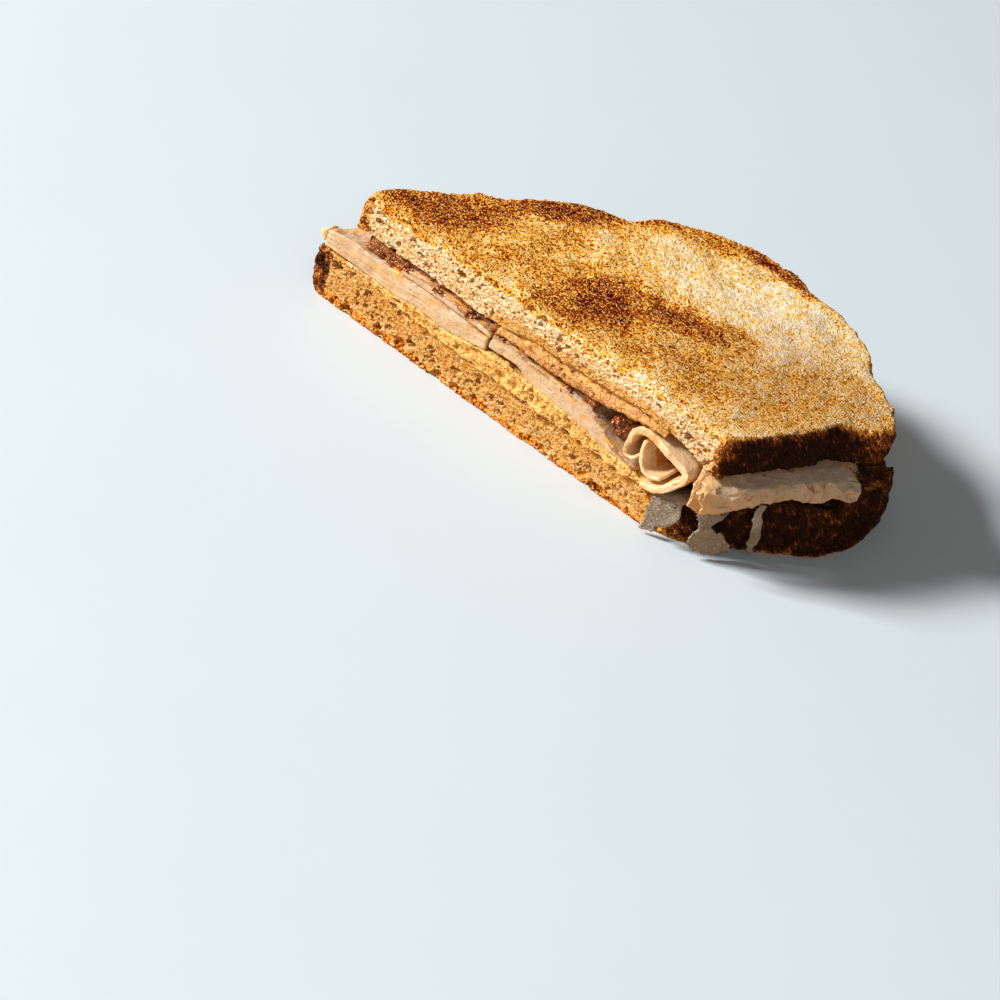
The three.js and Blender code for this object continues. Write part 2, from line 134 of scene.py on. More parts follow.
def rounded_line(corners: Sequence[Pair], steps: int = 8) -> Array:
    """A smooth line through points.

    Args:
        corners: The points.
        steps: The pieces between two of them.

    Returns:
        The line's points, one row each.
    """
    p = np.array(corners, float)
    p = np.vstack([2 * p[0] - p[1], p, 2 * p[-1] - p[-2]])
    line = []
    for a, b, c, d in zip(p, p[1:], p[2:], p[3:]):
        for t in np.arange(steps) / steps:
            bend = (2 * a - 5 * b + 4 * c - d) * t**2 + (3 * b - a - 3 * c + d) * t**3
            line.append(0.5 * (2 * b + (c - a) * t + bend))
    return np.array(line + [p[-2]])


def distance_to(line: Array, points: Array) -> tuple[Array, Array, Array]:
    """How far points lie from a line, seen from above.

    Args:
        line: The line's points.
        points: The points.

    Returns:
        The distance of each point, where on the line it is nearest, as the length from its start, and the
        direction to the right of the line there, which is inwards on a line that runs clockwise.
    """
    best, along, start = np.full(len(points), np.inf), np.zeros(len(points)), 0.0
    inward = np.zeros((len(points), 3))
    for a, b in zip(line, line[1:]):
        edge = b - a
        length = math.hypot(*edge)
        t = np.clip(((points[:, :2] - a) @ edge) / length**2, 0.0, 1.0)
        gap = np.hypot(*(points[:, :2] - a - t[:, None] * edge).T)
        nearer = gap < best
        best[nearer] = gap[nearer]
        along[nearer] = start + t[nearer] * length
        inward[nearer] = (edge[1] / length, -edge[0] / length, 0.0)
        start += length
    return best, along, inward


class Grain:
    """Seeded value noise over space, the same on every run."""

    CELLS = 48
    ORIGIN = 17.3
    GAIN = 1.6
    SHIFTS = (0.0, 31.0, 67.0)
    WEB_SHIFT = 40.0
    WEB_DEPTH = 0.8

    def __init__(self, seed: int) -> None:
        """Fills the noise's table."""
        self.table = np.random.default_rng(seed).random((self.CELLS,) * 3)

    def at(self, points: Array, size: float | Sequence[float]) -> Array:
        """The noise at points, from 0 to 1.

        Args:
            points: The points, in millimetres.
            size: The width of one lump, in millimetres, or one width for each axis.

        Returns:
            A value for each point.
        """
        q = points / np.asarray(size, float) + self.ORIGIN
        cell = np.floor(q).astype(int)
        f = q - cell
        f = f * f * (3.0 - 2.0 * f)
        value = np.zeros(len(points))
        for corner in range(8):
            step = np.array([corner & 1, corner >> 1 & 1, corner >> 2])
            weight = np.prod(np.where(step, f, 1.0 - f), axis=1)
            i, j, k = ((cell + step) % self.CELLS).T
            value += weight * self.table[i, j, k]
        return value

    def cloud(self, points: Array, size: float | Sequence[float], octaves: int = 3) -> Array:
        """Noise of several widths laid over each other.

        Args:
            points: The points, in millimetres.
            size: The width of the largest lumps.
            octaves: How many widths there are, each half the one before.

        Returns:
            A value from about -1 to 1 for each point.
        """
        size = np.asarray(size, float)
        total, share = np.zeros(len(points)), 0.0
        for octave in range(octaves):
            part = 0.5**octave
            total += part * (2.0 * self.at(points, size * part) - 1.0)
            share += part
        return total / share * self.GAIN

    def drift(self, points: Array, size: float, octaves: int) -> Array:
        """Three clouds beside each other, as a push in any direction."""
        return np.column_stack([self.cloud(points + shift, size, octaves) for shift in self.SHIFTS])

    def web(self, points: Array, size: Triple) -> Array:
        """How far points lie from the threads of a web, from 0 on a thread."""
        return np.minimum(np.abs(self.cloud(points, size, 2)), self.WEB_DEPTH)

    def fine_web(self, points: Array) -> Array:
        """A second web, apart from the first, for crumb and cheese."""
        return self.web(points + self.WEB_SHIFT, (1.9, 1.3, 1.3))


class Workpiece:
    """A mesh under work, with its points read and written in the cut's frame."""

    MERGE_DISTANCE = 1e-6
    SHEET_ROUNDS = 12
    HOLLOW_ROUNDS = 10
    FRONT = 4.0
    BIN = 1.0
    HIDDEN_WEIGHT = 1000.0

    def __init__(self, obj: Object) -> None:
        """Takes a mesh object whose place is in its mesh."""
        self.obj = obj

    @classmethod
    def from_node(cls, node: Object, name: str, voxel: float) -> "Workpiece":
        """A copy of a CAD node, rebuilt with even faces.

        Args:
            node: The CAD node's object, which stays as it is.
            name: The new piece's name.
            voxel: The width of a face, in millimetres.

        Returns:
            The copy, with a mesh of its own and no material.
        """
        cls(node).pick()
        bpy.ops.object.duplicate(linked=False)
        obj = bpy.context.view_layer.objects.active
        obj.name = obj.data.name = name
        for key in list(obj.keys()):
            del obj[key]
        obj.parent = None
        obj.matrix_world = Matrix.Identity(4)
        obj.data.materials.clear()
        piece = cls(obj)
        piece.edit(lambda: bpy.ops.mesh.remove_doubles(threshold=cls.MERGE_DISTANCE))
        piece.modify("REMESH", mode="VOXEL", voxel_size=voxel * MM, adaptivity=0.0)
        return piece

    def pick(self) -> None:
        """Makes this piece the only one that operators act on."""
        bpy.ops.object.select_all(action="DESELECT")
        self.obj.select_set(True)
        bpy.context.view_layer.objects.active = self.obj

    def edit(self, work: Callable[[], object], faces: Array | None = None) -> None:
        """Runs an edit-mode operator on all of the mesh or on some faces.

        Args:
            work: A call of the operator.
            faces: A mask of the faces that it acts on, or None for all of them.
        """
        self.pick()
        bpy.ops.object.mode_set(mode="EDIT")
        bpy.ops.mesh.select_mode(type="FACE")
        bpy.ops.mesh.select_all(action="SELECT" if faces is None else "DESELECT")
        if faces is not None:
            bpy.ops.object.mode_set(mode="OBJECT")
            self.obj.data.polygons.foreach_set("select", faces)
            bpy.ops.object.mode_set(mode="EDIT")
        work()
        bpy.ops.object.mode_set(mode="OBJECT")

    def divide(self, faces: Array) -> None:
        """Makes the mesh twice as fine on some faces."""
        self.edit(lambda: bpy.ops.mesh.subdivide(number_cuts=1, smoothness=0.0), faces)

    def modify(self, kind: str, **settings: object) -> None:
        """Adds a modifier with its settings and applies it."""
        self.pick()
        bpy.ops.object.modifier_add(type=kind)
        modifier = self.obj.modifiers[-1]
        for name, value in settings.items():
            setattr(modifier, name, value)
        bpy.ops.object.modifier_apply(modifier=modifier.name)

    @staticmethod
    def _read(items: Sequence[object], name: str, width: int = 3, kind: type = np.float32) -> Array:
        """One property of a mesh's vertices, edges or faces, one row each."""
        flat = np.zeros(len(items) * width, kind)
        items.foreach_get(name, flat)
        return flat.reshape(-1, width)

    def points(self) -> Array:
        """The vertices in millimetres, one row each."""
        return self._read(self.obj.data.vertices, "co").astype(float) / MM - CUT_CORNER

    def normals(self) -> Array:
        """The vertex normals, one row each."""
        return self._read(self.obj.data.vertex_normals, "vector").astype(float)

    def face_places(self) -> tuple[Array, Array]:
        """The centres of the faces in millimetres, and their normals."""
        faces = self.obj.data.polygons
        return self._read(faces, "center").astype(float) / MM - CUT_CORNER, self._read(faces, "normal")

    def _averaged(self, values: Array, rounds: int) -> Array:
        """Rows of the vertices, averaged with their neighbours' again and again."""
        edges = self._read(self.obj.data.edges, "vertices", 2, np.int32)
        start, end = edges.T
        count = np.bincount(edges.ravel(), minlength=len(values)) + 1.0
        for _ in range(rounds):
            total = values.copy()
            for column in range(values.shape[1]):
                total[:, column] += np.bincount(start, values[end, column], len(values))
                total[:, column] += np.bincount(end, values[start, column], len(values))
            values = total / count[:, None]
        return values

    def sheet_normals(self) -> Array:
        """The direction square to a thin sheet at each vertex, also on its edge, of either sense."""
        normals = self.normals()
        spread = np.einsum("ni,nj->nij", normals, normals).reshape(-1, 9)
        spread = self._averaged(spread, self.SHEET_ROUNDS).reshape(-1, 3, 3)
        return np.linalg.eigh(spread)[1][:, :, 2]

    def hollows(self) -> Array:
        """How far each vertex lies below the surface around it, in millimetres, or above it if below 0."""
        points = self.points()
        return ((self._averaged(points, self.HOLLOW_ROUNDS) - points) * self.normals()).sum(1)

    def limits(self) -> tuple[Array, Array]:
        """The lowest and highest point of the piece over each vertex's x, near the cut."""
        points = self.points()
        front = points[points[:, 1] < self.FRONT]
        bins = np.arange(points[:, 0].min(), points[:, 0].max() + self.BIN, self.BIN)
        which = np.clip(np.digitize(front[:, 0], bins) - 1, 0, len(bins) - 1)
        low, high = np.full(len(bins), np.inf), np.full(len(bins), -np.inf)
        np.minimum.at(low, which, front[:, 2])
        np.maximum.at(high, which, front[:, 2])
        good = low <= high
        x = bins[good] + 0.5 * self.BIN
        return np.interp(points[:, 0], x, low[good]), np.interp(points[:, 0], x, high[good])

    def move(self, points: Array) -> None:
        """Puts the vertices at new places, given in millimetres."""
        self.obj.data.vertices.foreach_set("co", metres(points).astype(np.float32).ravel())
        self.obj.data.update()

    def push(self, amounts: Array) -> None:
        """Moves each vertex along its normal by an amount in millimetres."""
        self.move(self.points() + self.normals() * amounts[:, None])

    def paint(self, name: str, values: Array) -> None:
        """Writes one number for each vertex, for a material to read."""
        layer = self.obj.data.attributes.new(name, "FLOAT", "POINT")
        layer.data.foreach_set("value", np.asarray(values, np.float32))

    def chart(self, name: str, vectors: Array) -> None:
        """Writes one place in millimetres for each vertex, for a pattern to follow."""
        layer = self.obj.data.attributes.new(name, "FLOAT_VECTOR", "POINT")
        layer.data.foreach_set("vector", (vectors * MM).astype(np.float32).ravel())

    def thin(self, hidden: Array, share: float) -> None:
        """Makes the mesh coarser where nothing shows.

        Args:
            hidden: A mask of the vertices that may go.
            share: The share of them that stays.
        """
        group = self.obj.vertex_groups.new(name="hidden")
        group.add(np.flatnonzero(hidden).tolist(), 1.0, "REPLACE")
        ratio = 1.0 - hidden.mean() * (1.0 - share)
        self.modify("DECIMATE", ratio=ratio, vertex_group="hidden", vertex_group_factor=self.HIDDEN_WEIGHT)
        self.obj.vertex_groups.clear()

    def finish(self, material: Material, slot: str, *nodes: str) -> None:
        """Shades the piece smoothly, dresses it, puts it in place of its CAD nodes and reports it.

        Args:
            material: Its material.
            slot: A material slot's name, which is not used.
            nodes: The CAD nodes that it stands for.
        """
        self.pick()
        bpy.ops.object.shade_smooth()
        self.obj.data.materials.append(material)
        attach(self.obj, "root")
        if nodes:
            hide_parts(*nodes)
        self.obj.data.calc_loop_triangles()
        LOG.info("%s: %d triangles", self.obj.name, len(self.obj.data.loop_triangles))


@dataclass(frozen=True)
class Bubbles:
    """Air bubbles that open at a surface, as the pores of a crumb do."""

    density: float
    smallest: float
    largest: float
    depth: Pair
    stretch: float
    unevenness: float
    seed: int

    SMALL_ONES = 2.2
    GRAIN_SEED = 100

    def carve(self, points: Array, normals: Array, chosen: Array) -> Array:
        """How far the bubbles sink each vertex.

        Args:
            points: The vertices, in millimetres.
            normals: Their normals, before any carving.
            chosen: A mask of the vertices that may be carved.

        Returns:
            The depth at each vertex, in millimetres.
        """
        random = np.random.default_rng(self.seed)
        grain = Grain(self.seed + self.GRAIN_SEED)
        index = np.flatnonzero(chosen)
        shrink = np.array([1.0 / self.stretch, 1.0, 1.0])
        bent = points + self.unevenness * grain.drift(points, 1.0, 2)
        tree = KDTree(len(index))
        for row, vertex in enumerate(index):
            tree.insert(bent[vertex] * shrink, row)
        tree.balance()
        spans = np.sort(points[index].max(0) - points[index].min(0))
        depths = np.zeros(len(points))
        for _ in range(int(self.density * spans[-1] * spans[-2])):
            host = index[random.integers(len(index))]
            radius = self.smallest + (self.largest - self.smallest) * random.random() ** self.SMALL_ONES
            normal = normals[host]
            centre = bent[host] - normal * radius * random.uniform(*self.depth)
            found = tree.find_range(Vector(centre * shrink), radius)
            if not found:
                continue
            reached = index[[item[1] for item in found]]
            q = (bent[reached] - centre) * shrink
            along = q @ normal
            sink = along + np.sqrt(np.maximum(along**2 - (q**2).sum(1) + radius**2, 0.0))
            depths[reached] = np.maximum(depths[reached], sink)
        return depths


@dataclass(frozen=True)
class Patch:
    """A soft oval of browning on a face."""

    centre: Pair
    radii: Pair
    turn: float
    strength: float

    SOFT_EDGE = (0.25, 1.15)

    def at(self, points: Array) -> Array:
        """How strong the patch is at points, from 0 to its strength."""
        angle = math.radians(self.turn)
        x, y = points[:, 0] - self.centre[0], points[:, 1] - self.centre[1]
        u = (x * math.cos(angle) + y * math.sin(angle)) / self.radii[0]
        v = (y * math.cos(angle) - x * math.sin(angle)) / self.radii[1]
        return self.strength * (1.0 - smoothstep(*self.SOFT_EDGE, np.hypot(u, v)))


def layered(patches: Sequence[Patch], points: Array, base: float = 0.0) -> Array:
    """Patches at points, added up over a base."""
    return sum((patch.at(points) for patch in patches), np.full(len(points), base))


class Signal:
    """A socket that gives a number or a colour, and that can be reckoned with."""

    def __init__(self, nodes: "Nodes", socket: Socket) -> None:
        """Takes the writer of the socket's tree, and the socket."""
        self.nodes, self.socket = nodes, socket

    def __add__(self, other: "Signal | float") -> "Signal":
        """The sum."""
        return self.nodes.math("ADD", self, other)

    def __sub__(self, other: "Signal | float") -> "Signal":
        """The difference."""
        return self.nodes.math("SUBTRACT", self, other)

    def __rsub__(self, other: float) -> "Signal":
        """What the signal leaves of a number."""
        return self.nodes.math("SUBTRACT", other, self)

    def __mul__(self, other: "Signal | float") -> "Signal":
        """The product."""
        return self.nodes.math("MULTIPLY", self, other)

    def clamped(self) -> "Signal":
        """This sum, difference or product, from now on kept from 0 to 1."""
        self.socket.node.use_clamp = True
        return self


class Nodes:
    """A node tree being written."""

    def __init__(self, tree: bpy.types.NodeTree) -> None:
        """Takes the tree."""
        self.tree = tree

    def add(self, kind: str, **settings: object) -> bpy.types.Node:
        """Adds a node of a type, named without the words ShaderNode, with its settings."""
        node = self.tree.nodes.new("ShaderNode" + kind)
        for name, value in settings.items():
            setattr(node, name, value)
        return node

    def outputs(self, node: bpy.types.Node) -> dict[str, Signal]:
        """A node's outputs by name."""
        return {socket.name: Signal(self, socket) for socket in node.outputs}

    def feed(self, socket: Socket, value: object) -> None:
        """Links a socket to a signal, or sets its value."""
        if isinstance(value, Signal):
            self.tree.links.new(value.socket, socket)
        elif socket.type == "RGBA":
            socket.default_value = (*value, 1.0)
        else:
            socket.default_value = value

    def math(self, operation: str, first: Signal | float, second: Signal | float) -> Signal:
        """A Math node on two numbers."""
        node = self.add("Math", operation=operation)
        self.feed(node.inputs[0], first)
        self.feed(node.inputs[1], second)
        return Signal(self, node.outputs[0])

    def span(self, value: Signal, low: float, high: float, to_low: float = 0.0, to_high: float = 1.0,
             smooth: bool = False) -> Signal:
        """Maps one range of numbers to another.

        Args:
            value: The number.
            low: The start of its range.
            high: The end of its range.
            to_low: What the start becomes.
            to_high: What the end becomes.
            smooth: Whether the step is soft.

        Returns:
            The mapped number.
        """
        node = self.add("MapRange", interpolation_type="SMOOTHSTEP" if smooth else "LINEAR")
        numbers = {"Value": value, "From Min": low, "From Max": high, "To Min": to_low, "To Max": to_high}
        for name, number in numbers.items():
            self.feed(node.inputs[name], number)
        return Signal(self, node.outputs[0])

    def mix(self, factor: Signal, first: Signal | Triple, second: Signal | Triple,
            blend: str = "MIX") -> Signal:
        """Mixes two colours.

        Args:
            factor: How much of the second there is.
            first: The first colour.
            second: The second colour.
            blend: The way they mix.

        Returns:
            The mixed colour.
        """
        node = self.add("Mix", data_type="RGBA", blend_type=blend)
        for index, value in ((0, factor), (6, first), (7, second)):
            self.feed(node.inputs[index], value)
        return Signal(self, node.outputs[2])

    def ramp(self, factor: Signal, stops: Stops) -> Signal:
        """A colour ramp with stops at places from 0 to 1."""
        node = self.add("ValToRGB")
        elements = node.color_ramp.elements
        while len(elements) < len(stops):
            elements.new(1.0)
        for element, (position, colour) in zip(elements, stops):
            element.position = position
            element.color = (*colour, 1.0)
        self.feed(node.inputs[0], factor)
        return Signal(self, node.outputs[0])

    def attribute(self, name: str, output: str = "Fac") -> Signal:
        """What is painted on the mesh under a name."""
        return self.outputs(self.add("Attribute", attribute_type="GEOMETRY", attribute_name=name))[output]

    def noise(self, size: float, detail: float = 3.0, rough: float = 0.6, stretch: Triple = (1, 1, 1),
              turn: Triple = (0, 0, 0), chart: str = "") -> Signal:
        """Noise over the piece, from 0 to 1.

        Args:
            size: The width of one lump, in millimetres.
            detail: How many finer widths lie over it.
            rough: How strong they are.
            stretch: How much longer the lumps are along each axis.
            turn: The turn of the pattern about each axis, in degrees.
            chart: The attribute that the pattern follows, instead of the piece's own place.

        Returns:
            The noise.
        """
        where = self.attribute(chart, "Vector") if chart else self.outputs(self.add("TexCoord"))["Object"]
        mapping = self.add("Mapping", vector_type="TEXTURE")
        mapping.inputs["Rotation"].default_value = tuple(math.radians(a) for a in turn)
        mapping.inputs["Scale"].default_value = tuple(size * MM * s for s in stretch)
        self.feed(mapping.inputs["Vector"], where)
        node = self.add("TexNoise")
        self.feed(node.inputs["Vector"], Signal(self, mapping.outputs[0]))
        for name, number in {"Scale": 1.0, "Detail": detail, "Roughness": rough}.items():
            self.feed(node.inputs[name], number)
        return self.outputs(node)["Fac"]

    def group(self, tree: bpy.types.NodeTree, **values: float) -> dict[str, Signal]:
        """The outputs of a node group that is placed with its own values."""
        node = self.add("Group", node_tree=tree)
        for name, value in values.items():
            self.feed(node.inputs[name.title()], value)
        return self.outputs(node)


class GroupNodes(Nodes):
    """A shader node group being written, with number sockets."""

    def __init__(self, name: str, inputs: dict[str, float], outputs: Sequence[str]) -> None:
        """Makes the empty group.

        Args:
            name: Its name.
            inputs: Its inputs and their usual values.
            outputs: Its outputs.
        """
        super().__init__(bpy.data.node_groups.new(name, "ShaderNodeTree"))
        sockets = self.tree.interface
        for label, value in inputs.items():
            sockets.new_socket(label, in_out="INPUT", socket_type="NodeSocketFloat").default_value = value
        for label in outputs:
            sockets.new_socket(label, in_out="OUTPUT", socket_type="NodeSocketFloat")
        self.given = self.outputs(self.tree.nodes.new("NodeGroupInput"))
        self.result = self.tree.nodes.new("NodeGroupOutput").inputs


class Surface(Nodes):
    """The nodes of a new material with a Principled shader."""

    GLOW_DEPTH = 1.6

    def __init__(self, name: str) -> None:
        """Makes the material."""
        self.material = bpy.data.materials.new(name)
        self.material.use_nodes = True
        super().__init__(self.material.node_tree)
        self.shader = next(n for n in self.tree.nodes if n.type == "BSDF_PRINCIPLED").inputs

    def glow(self, weight: float, radius: Triple) -> None:
        """Lets light in under the surface, with a radius for each colour."""
        self.shader["Subsurface Weight"].default_value = weight
        self.shader["Subsurface Radius"].default_value = radius
        self.shader["Subsurface Scale"].default_value = self.GLOW_DEPTH * MM

    def bump(self, height: Signal, strength: float, distance: float) -> None:
        """Gives the surface a relief.

        Args:
            height: The relief.
            strength: How strong it is.
            distance: The height that it has at 1, in millimetres.
        """
        node = self.add("Bump")
        for name, value in {"Strength": strength, "Distance": distance * MM, "Height": height}.items():
            self.feed(node.inputs[name], value)
        self.feed(self.shader["Normal"], Signal(self, node.outputs[0]))

    def coat(self, colour: Signal, roughness: Signal | float) -> Material:
        """Gives the surface its colour and roughness, and returns the material."""
        self.feed(self.shader["Base Color"], colour)
        self.feed(self.shader["Roughness"], roughness)
        return self.material


class Effects:
    """The node groups that several finishes share."""

    def __init__(self) -> None:
        """Builds each group once."""
        self.crumble = self._crumble()
        self.speckle = self._speckle()
        self.mottle = self._mottle()
        self.glints = self._glints()

    @staticmethod
    def _crumble() -> bpy.types.NodeTree:
        """Thin ridges with gaps between, as on crumb and toast, from 0 in a gap to 1 on a ridge."""
        nodes = GroupNodes("crumble", {"Coarse": 0.5, "Fine": 0.5}, ["Value"])
        ridges = []
        for share, size, detail, sharp in (("Coarse", 1.0, 1.5, 6.5), ("Fine", 0.5, 1.0, 5.5)):
            cloud = nodes.noise(size, detail, 0.55, (1.25, 1.0, 1.0), (0, 0, 12))
            fold = nodes.math("ABSOLUTE", cloud - 0.5, 0.0)
            ridges.append((1.0 - fold * sharp).clamped() * nodes.given[share])
        nodes.feed(nodes.result["Value"], ridges[0] + ridges[1])
        return nodes.tree

    @staticmethod
    def _speckle() -> bpy.types.NodeTree:
        """Coarse and fine grains around a half."""
        nodes = GroupNodes("speckle", {"Coarse": 0.5, "Fine": 0.5}, ["Value", "Height"])
        coarse = nodes.noise(1.3, 1.5) - 0.5
        fine = nodes.noise(0.52, 1.5, 0.7) - 0.5
        value = coarse * nodes.given["Coarse"] + 0.5 + fine * nodes.given["Fine"]
        nodes.feed(nodes.result["Value"], value)
        nodes.feed(nodes.result["Height"], coarse * 0.6 + fine)
        return nodes.tree

    @staticmethod
    def _glints() -> bpy.types.NodeTree:
        """Small scattered painted highlights, 1 on a glint and 0 between them."""
        nodes = GroupNodes("glints", {"Cover": 0.5}, ["Value"])
        least = 0.66 - nodes.given["Cover"] * 0.12
        nodes.feed(nodes.result["Value"], ((nodes.noise(0.55, 1.5, 0.6) - least) * 30.0).clamped())
        return nodes.tree

    @staticmethod
    def _mottle() -> bpy.types.NodeTree:
        """Broad soft clouds, as in meat and cheese, from 0 to 1."""
        nodes = GroupNodes("mottle", {"Strength": 1.0}, ["Value"])
        cloud = nodes.noise(7.0, 3.0, 0.6) - 0.5
        nodes.feed(nodes.result["Value"], (cloud * nodes.given["Strength"] + 0.5).clamped())
        return nodes.tree


@dataclass(frozen=True)
class BreadFinish:
    """The colours of a toasted slice, from its crumb to its burnt crust."""

    crumb: Triple = tone(255, 237, 194)
    crumb_shade: Triple = tone(216, 146, 44)
    soaked: Triple = tone(232, 186, 98)
    soaked_shade: Triple = tone(184, 116, 26)
    # Painted highlights with flour specks: white on pale toast, golden on toasted.
    flour_and_glint: Triple = tone(255, 250, 240)
    golden_glint: Triple = tone(255, 238, 188)
    tan: Triple = tone(208, 194, 178)
    toast: Stops = (
        (0.00, tone(255, 247, 238)),
        (0.10, tone(253, 230, 192)),
        (0.20, tone(254, 212, 98)),
        (0.32, tone(253, 194, 40)),
        (0.44, tone(242, 156, 18)),
        (0.56, tone(178, 56, 8)),
        (0.70, tone(132, 16, 8)),
        (0.85, tone(96, 8, 5)),
        (1.00, tone(52, 7, 5)),
    )
    crust: Stops = (
        (0.00, tone(250, 192, 98)),
        (0.22, tone(202, 126, 58)),
        (0.45, tone(134, 74, 42)),
        (0.68, tone(78, 45, 29)),
        (1.00, tone(42, 27, 20)),
    )
    relief: float = 0.34
    bump: float = 1.0
    glints: float = 0.25
    specular: float = 0.05

    def build(self, name: str, effects: Effects) -> Material:
        """The material, which reads the attributes toast, crust, char, soak and rim, the pits' painted shade
        and the dulled patches.

        Args:
            name: The material's name.
            effects: The shared node groups.

        Returns:
            The material.
        """
        nodes = Surface(name)
        toast, crust, char = nodes.attribute("toast"), nodes.attribute("crust"), nodes.attribute("char")
        soak, pit = nodes.attribute("soak"), nodes.attribute("pit")
        off = nodes.group(effects.speckle, coarse=0.8, fine=1.6)["Value"] - 0.5
        relief = nodes.group(effects.crumble, coarse=0.5, fine=0.5)["Value"] - 0.6 + off
        broad = nodes.noise(5.0) - 0.5
        # The crumb goes darker and more saturated in the relief's gaps, its grain with painted shade, and
        # most in the pits, painted shade.
        tinge = ((0.46 - relief * 1.6 + broad * 1.1).clamped() + pit * 0.9).clamped()
        crumb = nodes.mix(tinge, self.crumb, self.crumb_shade)
        soaked = nodes.mix(tinge, self.soaked, self.soaked_shade)
        crumb = nodes.mix(nodes.span(soak + off * 0.6, 0.25, 0.75, smooth=True), crumb, soaked)
        blotch = (nodes.noise(2.0, 4.0, 0.7) - 0.5) * 0.6 + broad * 0.55
        # The toast browns more in the relief's gaps and in the pits: toasting with painted shade.
        browning = toast + (blotch - relief * (toast * 0.75 + 0.44)) + pit * 0.12
        browned = nodes.ramp(browning.clamped(), self.toast)
        browned = nodes.mix(soak * 0.8, browned, self.soaked, "MULTIPLY")
        colour = nodes.mix(nodes.span(toast, -0.02, 0.06), crumb, browned)
        # Darker and greyer in listed patches towards the slice's right end.
        colour = nodes.mix(nodes.attribute("tan"), colour, self.tan, "MULTIPLY")
        # Painted highlights with flour specks: sparse grains, white on pale toast, golden on toasted, fewer
        # on the darkest.
        shine = nodes.group(effects.glints, cover=self.glints)["Value"]
        shine = shine * nodes.span(toast, 0.4, 0.7, 0.85, 0.7)
        bright = nodes.mix(nodes.span(toast, 0.12, 0.34), self.flour_and_glint, self.golden_glint)
        colour = nodes.mix(shine, colour, bright)
        streaks = nodes.noise(0.5, 3.0, 0.65, (1, 6, 3), (0, 0, -32), "rim") - 0.52
        # The crust is lighter on its streaks and the relief's ridges and darker in its gaps: streaked crust
        # with painted shade.
        baked = nodes.ramp((char + (relief * -0.5 + streaks * -2.2)).clamped(), self.crust)
        colour = nodes.mix(nodes.span(crust + off * 0.9, 0.4, 0.6), colour, baked)
        nodes.bump(relief + streaks * crust, self.bump, self.relief)
        nodes.shader["Specular IOR Level"].default_value = self.specular
        return nodes.coat(colour, nodes.span(toast, 0.2, 0.9, 0.72, 0.45))


@dataclass(frozen=True)
class MeatFinish:
    """The colours of sliced turkey."""

    flesh: Triple = tone(198, 173, 146)
    pale: Triple = tone(215, 197, 172)
    stain_and_shade: Triple = tone(152, 94, 34)
    seam: Triple = tone(230, 168, 66)
    far: Triple = tone(120, 102, 84)
    glint: Triple = tone(250, 240, 228)
    roughness: float = 0.3
    threads: float = 0.0
    relief: float = 0.25
    bump: float = 0.6
    sparkle: float = 0.3
    glints: float = 0.2
    glow: float = 0.2
    glow_radius: Triple = (1.0, 0.75, 0.55)

    def build(self, name: str, effects: Effects) -> Material:
        """The material, which reads the painted attributes of its stains with painted shade, its seams and
        its fade.

        Args:
            name: The material's name.
            effects: The shared node groups.

        Returns:
            The material.
        """
        nodes = Surface(name)
        cloud = nodes.group(effects.mottle, strength=2.6)["Value"]
        grain = nodes.group(effects.speckle, coarse=0.7, fine=0.9)
        off = grain["Value"] - 0.5
        fibres = nodes.noise(0.8, stretch=(5, 3, 1)) - 0.5
        colour = nodes.mix((cloud + fibres * 0.25).clamped(), self.flesh, self.pale)
        colour = nodes.mix((nodes.attribute("fade") + off * 0.8).clamped(), colour, self.far)
        # Stains, and on the leaves painted shade in their hollows.
        stain_and_shade_share = nodes.span(nodes.attribute("stain_and_shade") + off * 0.7, 0.2, 0.9, smooth=True)
        colour = nodes.mix(stain_and_shade_share, colour, self.stain_and_shade)
        thread = nodes.span(nodes.noise(0.5, 1.0, 0.5, (14, 6, 1)), 0.6, 0.63, 0.0, self.threads)
        seam = nodes.span((nodes.attribute("seam") + off * 0.4).clamped(), 0.45, 1.0, smooth=True)
        colour = nodes.mix(nodes.math("MAXIMUM", seam, thread), colour, self.seam)
        # Painted highlights: scattered glints in the glint colour.
        shine = nodes.group(effects.glints, cover=self.glints)["Value"] * self.sparkle
        colour = nodes.mix(shine, colour, self.glint)
        nodes.bump(grain["Height"] + fibres * 0.2, self.bump, self.relief)
        nodes.glow(self.glow, self.glow_radius)
        return nodes.coat(colour, nodes.span(cloud, 0.0, 1.0, self.roughness - 0.08, self.roughness + 0.12))


@dataclass(frozen=True)
class SoftFinish:
    """A soft, slightly glossy finish, for cheese and relish."""

    body: Triple
    deep: Triple
    roughness: float
    glow: float
    crumbs: float
    relief: float
    sparkle: float
    glint: Triple = tone(236, 196, 150)
    glints: float = 0.5
    bump: float = 0.6
    glow_radius: Triple = (1.0, 0.75, 0.5)

    def build(self, name: str, effects: Effects) -> Material:
        """The material, which reads the painted attribute of its stains with painted shade in its hollows.

        Args:
            name: The material's name.
            effects: The shared node groups.

        Returns:
            The material.
        """
        nodes = Surface(name)
        cloud = nodes.group(effects.mottle, strength=2.0)["Value"]
        grain = nodes.group(effects.speckle, coarse=1.1, fine=0.9)
        # Darker in the crumble's gaps: the layer's grain with painted shade.
        gaps = (0.55 - nodes.group(effects.crumble, coarse=0.5, fine=0.5)["Value"]) * self.crumbs
        tinge = nodes.attribute("stain_and_shade") + ((grain["Value"] - 0.5) * 0.8 + gaps)
        colour = nodes.mix((tinge + cloud * 0.3).clamped(), self.body, self.deep)
        # Painted highlights: scattered glints in the glint colour.
        shine = nodes.group(effects.glints, cover=self.glints)["Value"] * self.sparkle
        colour = nodes.mix(shine, colour, self.glint)
        nodes.bump(grain["Height"] - gaps, self.bump, self.relief)
        nodes.glow(self.glow, self.glow_radius)
        return nodes.coat(colour, nodes.span(cloud, 0.0, 1.0, self.roughness, self.roughness + 0.2))


